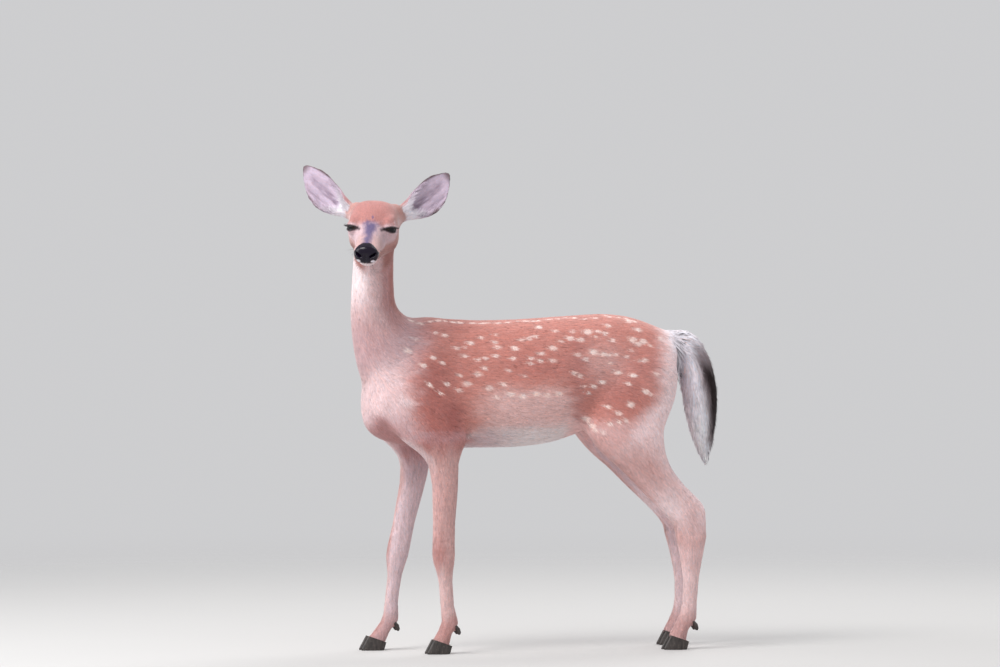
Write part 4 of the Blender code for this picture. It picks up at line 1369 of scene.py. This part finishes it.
class Leaf:
    """A lock's closed shape: a root, rings of three points along it, and a tip.

    A ring is how far along it is, and its width, height and tone as shares of the lock's own.
    """

    def __init__(self, *rings):
        self.rings = rings
        self.patch = [(0.0, -1.0)]  # each point's place on the lock's own square
        self.tones = [ROOT_SHADE]
        for share, _, _, tone in rings:
            spot = 2 * share - 1
            self.patch += [(-0.8, spot), (0.0, spot + 0.25), (0.8, spot)]
            # each ring lighter at its ridge and darker at its edges: a painted highlight and painted shade
            # across the lock
            self.tones += [tone * 0.97, tone * 1.03, tone * 0.97]
        self.patch.append((0.0, 1.0))
        self.tones.append(TIP_LIGHT)
        last, tip = 3 * len(rings) - 2, 3 * len(rings) + 1
        faces = [(0, 1, 2), (0, 2, 3), (0, 3, 1)]
        for a in range(1, last, 3):
            for j in range(3):
                k = (j + 1) % 3
                faces += [(a + j, a + 3 + k, a + k), (a + j, a + 3 + j, a + 3 + k)]
        faces += [(tip, last + 1, last), (tip, last + 2, last + 1), (tip, last, last + 2)]
        self.faces = np.array(faces)


SHORT = Leaf((0.42, 1.0, 0.85, 0.98))
LONG = Leaf((0.14, 0.9, 0.72, 0.94), (0.45, 1.0, 0.97, 0.98), (0.80, 0.65, 1.0, 1.0))


class Hide:
    """The skin as the coat needs it: triangles, lie, regions, and the nearest point on it."""

    def __init__(self):
        mesh = bpy.data.objects["skin"].data
        self.points = points_of(mesh)
        self.normals = normals_of(mesh)
        self.triangles = triangles_of(mesh)
        self.lie = column(mesh.attributes["Lie"].data, "vector", 3).astype(float)
        self.regions = column(mesh.attributes["Region"].data, "value", 1).astype(int)
        self.bare = column(mesh.attributes["Bare"].data, "value", 1).astype(float)
        web = Web(mesh)
        self.parts = shares(self.regions, web, 5)
        self.depth = web.spread(depths(self.parts), 6)
        self.areas = np.linalg.norm(face_normals(self.points, self.triangles), axis=1) / 2
        self.tree = surface(self.points, self.triangles)
        self.tail = tail_outline()

    def strewn(self, region, apart, rng, allowed):
        """Evenly spread roots on one region: their triangles and their places in them."""
        most = self.regions[self.triangles]
        wanted = (most[:, 0] == region) & allowed[self.triangles].all(1)
        share = np.cumsum(self.areas * wanted)
        count = int(share[-1] / apart**2 * sizes().density)
        marks = (np.arange(count) + rng.random(count)) * share[-1] / count
        faces = np.minimum(np.searchsorted(share, marks), len(share) - 1)
        a, b = rng.random((2, count))
        fold = a + b > 1
        a[fold], b[fold] = 1 - a[fold], 1 - b[fold]
        return faces, np.stack([1 - a - b, a, b], 1)

    def at(self, values, faces, within):
        """A value of the skin's points at places within its triangles."""
        corners = values[self.triangles[faces]]
        return np.sum(corners * within.reshape(*within.shape, *([1] * (values.ndim - 1))), 1)

    def onto(self, points, height):
        """Points set at a height over the nearest skin."""
        return nearest(self.tree, points, height)[0]

    def under_tail(self, points, depth):
        """Points at a depth under the tail's full outline, and the way its hanging hair faces."""
        at, facing = nearest(self.tail, points, -depth)
        facing[:, 2] = np.maximum(facing[:, 2], -0.15)
        return at, unit(facing)


def rooted(hide):
    """Where hair may root: off bare skin and the eyes' openings."""
    allowed = hide.bare < 0.3
    for side in SIDES:
        allowed &= off_lids(hide.points, side) > 0.09
        allowed &= np.linalg.norm(hide.points - np.array(EYES[side]), axis=1) > EYE_RADIUS - 0.0002
    allowed &= (share_of(hide.parts, "tail") < 0.5) | (hide.points[:, 2] > TAIL_LOW.z + 0.024)
    return allowed


def locks(hair, hide, faces, within, rng):
    """Points and shading normals of leaf-shaped locks, root to tip."""
    long = hair.region == "tail"
    root = hide.at(hide.points, faces, within)
    normal = unit(hide.at(hide.normals, faces, within))
    if long:
        normal = hide.under_tail(root, np.zeros(len(root)))[1]
    lie = unit(flat_on(hide.at(hide.lie, faces, within), normal))
    depth = hide.at(hide.depth, faces, within)
    count = len(root)
    # neighbours part and bunch together, and each lock strays a little of its own
    bunch = 0.14 * noise3(root, 0.035, 21) + 0.10 * noise3(root, 0.011, 22)
    yaw = hair.stray * rng.normal(size=count) + bunch
    across = np.cross(normal, lie)
    lie = unit(lie + across * yaw[:, None])
    across = np.cross(normal, lie)
    size = 0.75 + 0.5 * rng.random(count)
    if hair.region == "head":
        size *= 1.25 - 0.70 * smooth(0.02, 0.15, in_head(root)[:, 0])
    if hair.region == "shank":
        size *= 0.7 + 0.5 * smooth(0.05, 0.2, root[:, 2])
    length = hair.long * size
    wide = hair.wide * (0.7 + 0.6 * rng.random(count))
    rise = depth * hair.stand * (0.30 + 0.70 * rng.random(count))
    if long:
        down = down_tail(root)
        length *= 0.60 + 0.40 * smooth(0.02, 0.25, down)
        wide *= 1.35 - 0.35 * smooth(0.10, 0.35, down)
        room = root[:, 2] - TAIL_LOW.z + 0.003
        length = np.minimum(length, room / np.maximum(-lie[:, 2], 0.05))
        under = 0.0003 + 0.0030 * rng.random(count)
    points = [root - normal * 0.0006]
    shading = [unit(normal - lie * 0.25)]
    for share, width, lift, _ in (LONG if long else SHORT).rings:
        way = root + lie * (length * share)[:, None]
        face = normal
        if long:
            base, face = hide.under_tail(way, under + depth * (1 - lift))
        else:
            base = hide.onto(way, rise * lift)
        half = (wide * width / 2)[:, None]
        points += [base - across * half, base + face * half * 0.4, base + across * half]
        shading += [unit(face - across * 0.25), face, unit(face + across * 0.25)]
    end = root + lie * length[:, None]
    if long:
        end, face = hide.under_tail(end, under - 0.006 * rng.random(count) ** 3)
    else:
        end = hide.onto(end, rise)
    points.append(end)
    shading.append(unit(face + lie * 0.2))
    return np.stack(points, 1), np.stack(shading, 1)


def unkinked(points, shading):
    """Which locks run on from root to tip without doubling back or turning under."""
    middle = np.concatenate([points[:, :1], points[:, 2:-1:3], points[:, -1:]], 1)
    path = np.linalg.norm(np.diff(middle, axis=1), axis=2).sum(1)
    turned = np.sum(shading[:, 2::3] * shading[:, :1], 2).min(1)
    return (path < 1.35 * np.linalg.norm(middle[:, -1] - middle[:, 0], axis=1)) & (turned > 0.1)


def unwrapped(points):
    """A place on a square for each root: round and along the run of the surface it is on."""
    centre = points.mean(0)
    offset = points - centre
    _, _, axes = np.linalg.svd(offset[:: max(1, len(offset) // 4000)], full_matrices=False)
    local = offset @ axes.T
    turn = np.arctan2(local[:, 2], local[:, 1]) / (2 * math.pi) + 0.5
    along = local[:, 0]
    along = (along - along.min()) / max(float(np.ptp(along)), 1e-6)
    return np.stack([0.004 + 0.992 * turn, 0.004 + 0.992 * along], 1)


PATCH = 0.0015  # half of a lock's patch on the bake's square


def coat_mesh(name, points, shading, tints, places, leaf):
    """One mesh of many locks, with their colours, soft shading and bake places."""
    count, each = points.shape[:2]
    faces = (leaf.faces + (np.arange(count) * each)[:, None, None]).reshape(-1, 3)
    mesh = bpy.data.meshes.new(name)
    mesh.vertices.add(count * each)
    mesh.vertices.foreach_set("co", points.astype(np.float32).ravel())
    mesh.loops.add(faces.size)
    mesh.loops.foreach_set("vertex_index", faces.astype(np.int32).ravel())
    mesh.polygons.add(len(faces))
    mesh.polygons.foreach_set("loop_start", np.arange(0, faces.size, 3, dtype=np.int32))
    mesh.update(calc_edges=True)
    mesh.shade_smooth()
    paint(mesh, tints.reshape(-1, 3))
    spots = (places[:, None] + np.array(leaf.patch) * PATCH).reshape(-1, 2)
    layer = mesh.uv_layers.new(name="OFBake")
    layer.uv.foreach_set("vector", spots[faces.ravel()].astype(np.float32).ravel())
    mesh.normals_split_custom_set_from_vertices(shading.reshape(-1, 3).tolist())
    return mesh


def make_coat(name, hide):
    """The locks of one region, parted into pieces that keep to the limit."""
    hair = COATS[name]
    leaf = LONG if hair.region == "tail" else SHORT
    rng = np.random.default_rng(sum(map(ord, name)))
    faces, within = hide.strewn(REGIONS.index(hair.region), hair.apart, rng, rooted(hide))
    points, shading = locks(hair, hide, faces, within, rng)
    straight = unkinked(points, shading)
    points, shading, faces, within = (rows[straight] for rows in (points, shading, faces, within))
    count, each = points.shape[:2]
    normals = unit(hide.at(hide.normals, faces, within))
    parts = hide.at(hide.parts, faces, within)
    tints = markings(points.reshape(-1, 3), np.repeat(normals, each, 0), np.repeat(parts, each, 0))
    vary = 1 + hair.tone * rng.normal(size=(count, 1, 1))
    warm = 1 + 0.03 * rng.normal(size=(count, 1, 1)) * np.array([1.0, -0.3, -1.0])
    tints = tints.reshape(count, each, 3) * np.array(leaf.tones)[:, None] * vary * warm
    total = count * len(leaf.faces)
    pieces = math.ceil(total / PIECE_LIMIT)
    order = np.argsort(points[:, 0, 0] + 0.7 * points[:, 0, 2], kind="stable")
    slot = {"tail": "tail_hair", "ear": "ear_skin"}.get(hair.region, "coat")
    for k, chosen in enumerate(np.array_split(order, pieces)):
        label = name if pieces == 1 else f"{name}_{k + 1}"
        places = unwrapped(points[chosen, 0])
        mesh = coat_mesh(label, points[chosen], shading[chosen], tints[chosen], places, leaf)
        linked(label, mesh, material("hair_" + hair.region, hair_material))
    print(f"{name}: {count} locks, {total} triangles, {pieces} pieces")


# --- lashes, whiskers and the hair in the ears -------------------------------------------


def strands(name, root, way, bend, facing, length, width, tint):
    """Free hairs that taper from root to tip, bend along the way and show one side outwards."""
    over = unit(flat_on(facing, way))
    across = np.cross(over, way)
    width = np.broadcast_to(width, length.shape)
    points, shading = [root - way * 0.001], [over]
    for share, wide, _, _ in LONG.rings:
        middle = root + way * (length * share)[:, None] + bend * (length * share**2)[:, None]
        half = (width * wide / 2)[:, None]
        points += [middle - across * half, middle + over * half, middle + across * half]
        shading += [unit(over - across), over, unit(over + across)]
    points = np.stack([*points, root + (way + bend) * length[:, None]], 1)
    shading = np.stack([*shading, over], 1)
    tints = np.broadcast_to(tint[..., None, :], points.shape).copy()
    mesh = coat_mesh(name, points, shading, tints, unwrapped(root), LONG)
    linked(name, mesh, material("hair_free", hair_material))


LASH_UP = (54, 0.0080, 0.00055, 0.40)  # how many, length, width and how far they curl up
LASH_DOWN = (24, 0.0034, 0.00040, -0.25)


def make_lashes(side):
    rng = np.random.default_rng(31 + SIDES[side])
    axes = eye_axes(side)
    roots, ways, bends, lengths, widths = [], [], [], [], []
    for k, (count, long, wide, curl) in enumerate((LASH_UP, LASH_DOWN)):
        across = np.linspace(-0.88, 0.86, count) * LID_REACH + 0.03 * rng.normal(size=count)
        rise = lid_edge(across)[k]
        way = outwards(across, rise)
        roots.append(np.array(EYES[side]) + way @ axes.T * (EYE_RADIUS + 0.0012))
        lean = np.stack([0 * across, 0.35 * across, 0.12 * rng.normal(size=count) - 0.1], 1)
        ways.append(unit((way + lean) @ axes.T))
        bends.append(np.stack([0 * across, 0.20 * across, 0 * across + curl], 1) @ axes.T)
        lengths.append(long * (0.30 + 0.70 * np.cos(across)) * (0.8 + 0.3 * rng.random(count)))
        widths.append(np.full(count, wide))
    root = np.concatenate(roots)
    tint = ink("rim") * (0.6 + 0.5 * rng.random((len(root), 1)))
    way, bend, length, width = map(np.concatenate, (ways, bends, lengths, widths))
    strands(f"lashes_{side}", root, way, bend, axes[:, 2], length, width, tint)


LIP_WHISKERS = 30
CHIN_WHISKERS = 9


def make_whiskers(hide):
    """Thin stiff hairs on lips and chin, and a few over the eyes."""
    rng = np.random.default_rng(41)
    ahead, side, up = rng.random(LIP_WHISKERS), rng.random(LIP_WHISKERS), rng.random(LIP_WHISKERS)
    lips = np.stack([0.148 + 0.036 * ahead, 0.022 * np.sign(side - 0.5), -0.022 + 0.022 * up], 1)
    ahead, side = rng.random(CHIN_WHISKERS), rng.random(CHIN_WHISKERS)
    chin = np.stack([0.150 + 0.026 * ahead, 0.024 * (side - 0.5), 0 * side - 0.040], 1)
    brows = [(0.104 + 0.002 * k, way * (0.036 + 0.002 * k), 0.036) for way in (-1, 1) for k in range(3)]
    start = np.array(HEAD_ORIGIN) + np.concatenate([lips, chin, brows]) @ HEAD.T
    root, out = nearest(hide.tree, start, np.zeros(len(start)))
    way = unit(out + AHEAD * 0.35 + 0.15 * rng.normal(size=out.shape))
    length = 0.008 + 0.014 * rng.random(len(root))
    tint = ink("rim") * 4 + 0.05
    strands("whiskers", root, way, -0.25 * UPWARD - 0.20 * AHEAD, UPWARD, length, 0.00030, tint)


EAR_HAIRS = 300  # long pale hairs that cross the opening of each ear


def make_ear_hair(side, hide):
    """Long white hairs along the ear's inner edge and out of its base."""
    rng = np.random.default_rng(51 + SIDES[side])
    origin, axes = EARS[side]
    along = 0.08 + 0.50 * rng.random(EAR_HAIRS) ** 1.3
    edge = np.where(rng.random(EAR_HAIRS) < 0.62, 1.0, -1.0)
    across = edge * ear_half(along) * (0.45 + 0.40 * rng.random(EAR_HAIRS)) + EAR_MIDDLE
    start = origin + np.stack([along * EAR_LENGTH, across, np.full(EAR_HAIRS, 0.012)], 1) @ axes.T
    root = hide.onto(start, np.zeros(EAR_HAIRS))
    lean = np.stack([np.full(EAR_HAIRS, 0.95), -0.22 * edge, np.full(EAR_HAIRS, 0.12)], 1)
    way = unit((lean + 0.16 * rng.normal(size=lean.shape)) @ axes.T)
    bend = -0.10 * axes[:, 2] + 0.10 * axes[:, 0]
    length = (0.012 + 0.012 * rng.random(EAR_HAIRS)) * (1.1 - 0.5 * along)
    share = smooth(0.15, 0.50, along)[:, None]
    tint = ink("tail_white") + (ink("ear_inside") - ink("tail_white")) * share
    tint = tint * (0.90 + 0.15 * rng.random((EAR_HAIRS, 1)))
    strands(f"ear_hair_{side}", root, way, bend, axes[:, 2], length, 0.00080, tint)


FRINGE = 420  # hairs of the rump that lie over the root of the tail


def make_rump_fringe(hide):
    """Long pale hairs from the rump's edge, over the crease at the root of the tail."""
    rng = np.random.default_rng(61)
    off_tail = share_of(hide.parts, "tail") < 0.4
    behind = (hide.points[:, 0] > TAIL_LOW.x - 0.03) & (hide.points[:, 2] > TAIL_HIGH.z - 0.125)
    near = np.nonzero(off_tail & behind)[0]
    far = np.array([hide.tail.find_nearest(p)[3] for p in hide.points[near].tolist()])
    chosen = rng.choice(near[far < 0.016], FRINGE)
    root = hide.points[chosen]
    normal = unit(hide.normals[chosen])
    down = smooth(0, 0.05, TAIL_HIGH.z - root[:, 2])
    run = np.stack([1.0 - 0.55 * down, 0 * down, -0.25 - 0.75 * down], 1)
    way = unit(unit(flat_on(run, normal)) + 0.16 * normal + 0.10 * rng.normal(size=root.shape))
    bend = np.array([0.0, 0.0, -0.22])
    length = 0.018 + 0.020 * rng.random(FRINGE)
    tint = ink("tail_white") * (0.88 + 0.14 * rng.random((FRINGE, 1)))
    strands("rump_fringe", root, way, bend, normal, length, 0.0024, tint)


# --- hooves ------------------------------------------------------------------------------


def dress_horn():
    horn = horn_material()
    for name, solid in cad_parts.items():
        if region_of(name) == "horn":
            for slot in solid.material_slots:
                slot.material = horn


# --- studio ------------------------------------------------------------------------------

AIM = Vector((-0.0216, 0.0749, 0.6647))  # the middle of the view, on the fawn's own plane
CAMERA_AZIMUTH = math.radians(-15)
CAMERA_RISE = math.radians(1.5)


def make_camera():
    data = bpy.data.cameras.new("camera")
    data.lens = 250
    data.sensor_width = 36
    data.clip_end = 200
    camera = placed("camera", data)
    back = Vector(
        (
            math.sin(CAMERA_AZIMUTH) * math.cos(CAMERA_RISE),
            -math.cos(CAMERA_AZIMUTH) * math.cos(CAMERA_RISE),
            math.sin(CAMERA_RISE),
        )
    )
    camera.location = AIM + back * sizes().camera_distance
    camera.rotation_euler = back.to_track_quat("Z", "Y").to_euler()
    bpy.context.scene.camera = camera


def make_light(name, place, size, power, tint):
    data = bpy.data.lights.new(name, "AREA")
    data.shape = "DISK"
    data.size = size
    data.energy = power
    data.color = tint
    lamp = placed(name, data)
    lamp.location = place
    lamp.rotation_euler = (Vector(place) - Vector((0, 0, 0.6))).to_track_quat("Z", "Y").to_euler()


def make_studio():
    build = bmesh.new()
    bmesh.ops.create_circle(build, cap_ends=True, segments=96, radius=6.0)
    floor = placed("floor", drawn(build, "floor"))
    floor.data.materials.append(floor_material())
    make_light("key", (-2.6, -1.6, 4.0), 2.2, 138, (1.0, 0.985, 0.965))
    make_light("fill", (-3.4, 0.2, 2.2), 2.4, 52, (0.96, 0.98, 1.0))
    make_light("back", (2.2, 2.0, 3.6), 2.4, 70, (1.0, 0.99, 0.98))
    world = bpy.data.worlds.new("studio")
    world.use_nodes = True
    backdrop = world.node_tree.nodes["Background"]
    backdrop.inputs["Color"].default_value = (0.83, 0.83, 0.845, 1)
    backdrop.inputs["Strength"].default_value = 0.74
    bpy.context.scene.world = world
    bpy.context.scene.view_settings.view_transform = "Standard"
    bpy.context.scene.view_settings.look = "None"
    make_camera()


# --- operators, panel and start ----------------------------------------------------------


class FAWN_OT_studio(bpy.types.Operator):
    """Floor, lights and camera"""

    bl_idname = "fawn.studio"
    bl_label = "Studio"

    def execute(self, context):
        make_studio()
        return {"FINISHED"}


class FAWN_OT_skin(bpy.types.Operator):
    """One skin over all the flesh, with lids, nostrils and mouth"""

    bl_idname = "fawn.skin"
    bl_label = "Skin"

    def execute(self, context):
        make_skin()
        return {"FINISHED"}


class FAWN_OT_eyes(bpy.types.Operator):
    """Eyeballs and the bare rims of the lids"""

    bl_idname = "fawn.eyes"
    bl_label = "Eyes"

    def execute(self, context):
        for side in SIDES:
            make_eye(side)
        return {"FINISHED"}


class FAWN_OT_coat(bpy.types.Operator):
    """The coat, lock by lock, on every region of the skin"""

    bl_idname = "fawn.coat"
    bl_label = "Coat"

    def execute(self, context):
        hide = Hide()
        for name in COATS:
            make_coat(name, hide)
        return {"FINISHED"}


class FAWN_OT_strands(bpy.types.Operator):
    """Lashes, whiskers, the long hair in the ears and the fringe over the tail's root"""

    bl_idname = "fawn.strands"
    bl_label = "Lashes, whiskers and fringes"

    def execute(self, context):
        hide = Hide()
        make_whiskers(hide)
        make_rump_fringe(hide)
        for side in SIDES:
            make_lashes(side)
            make_ear_hair(side, hide)
        return {"FINISHED"}


class FAWN_OT_hooves(bpy.types.Operator):
    """Horn on hooves and dewclaws"""

    bl_idname = "fawn.hooves"
    bl_label = "Hooves"

    def execute(self, context):
        dress_horn()
        return {"FINISHED"}


STEPS = (
    FAWN_OT_studio, FAWN_OT_skin, FAWN_OT_eyes, FAWN_OT_coat, FAWN_OT_strands, FAWN_OT_hooves,
)


class FAWN_PT_panel(bpy.types.Panel):
    bl_idname = "FAWN_PT_panel"
    bl_label = "Deer fawn"
    bl_space_type = "VIEW_3D"
    bl_region_type = "UI"
    bl_category = "Fawn"

    def draw(self, context):
        for settings in (context.scene.fawn_sizes, context.scene.fawn_colours):
            for name in settings.__annotations__:
                self.layout.prop(settings, name)
        for step in STEPS:
            self.layout.operator(step.bl_idname)


CLASSES = (FawnSizes, FawnColours, *STEPS, FAWN_PT_panel)


def register():
    for item in CLASSES:
        bpy.utils.register_class(item)
    bpy.types.Scene.fawn_sizes = bpy.props.PointerProperty(type=FawnSizes)
    bpy.types.Scene.fawn_colours = bpy.props.PointerProperty(type=FawnColours)


def unregister():
    del bpy.types.Scene.fawn_colours
    del bpy.types.Scene.fawn_sizes
    for item in reversed(CLASSES):
        bpy.utils.unregister_class(item)


def main():
    register()
    bpy.ops.fawn.studio()
    bpy.ops.fawn.skin()
    bpy.ops.fawn.eyes()
    bpy.ops.fawn.coat()
    bpy.ops.fawn.strands()
    bpy.ops.fawn.hooves()


if __name__ == "__main__":
    main()
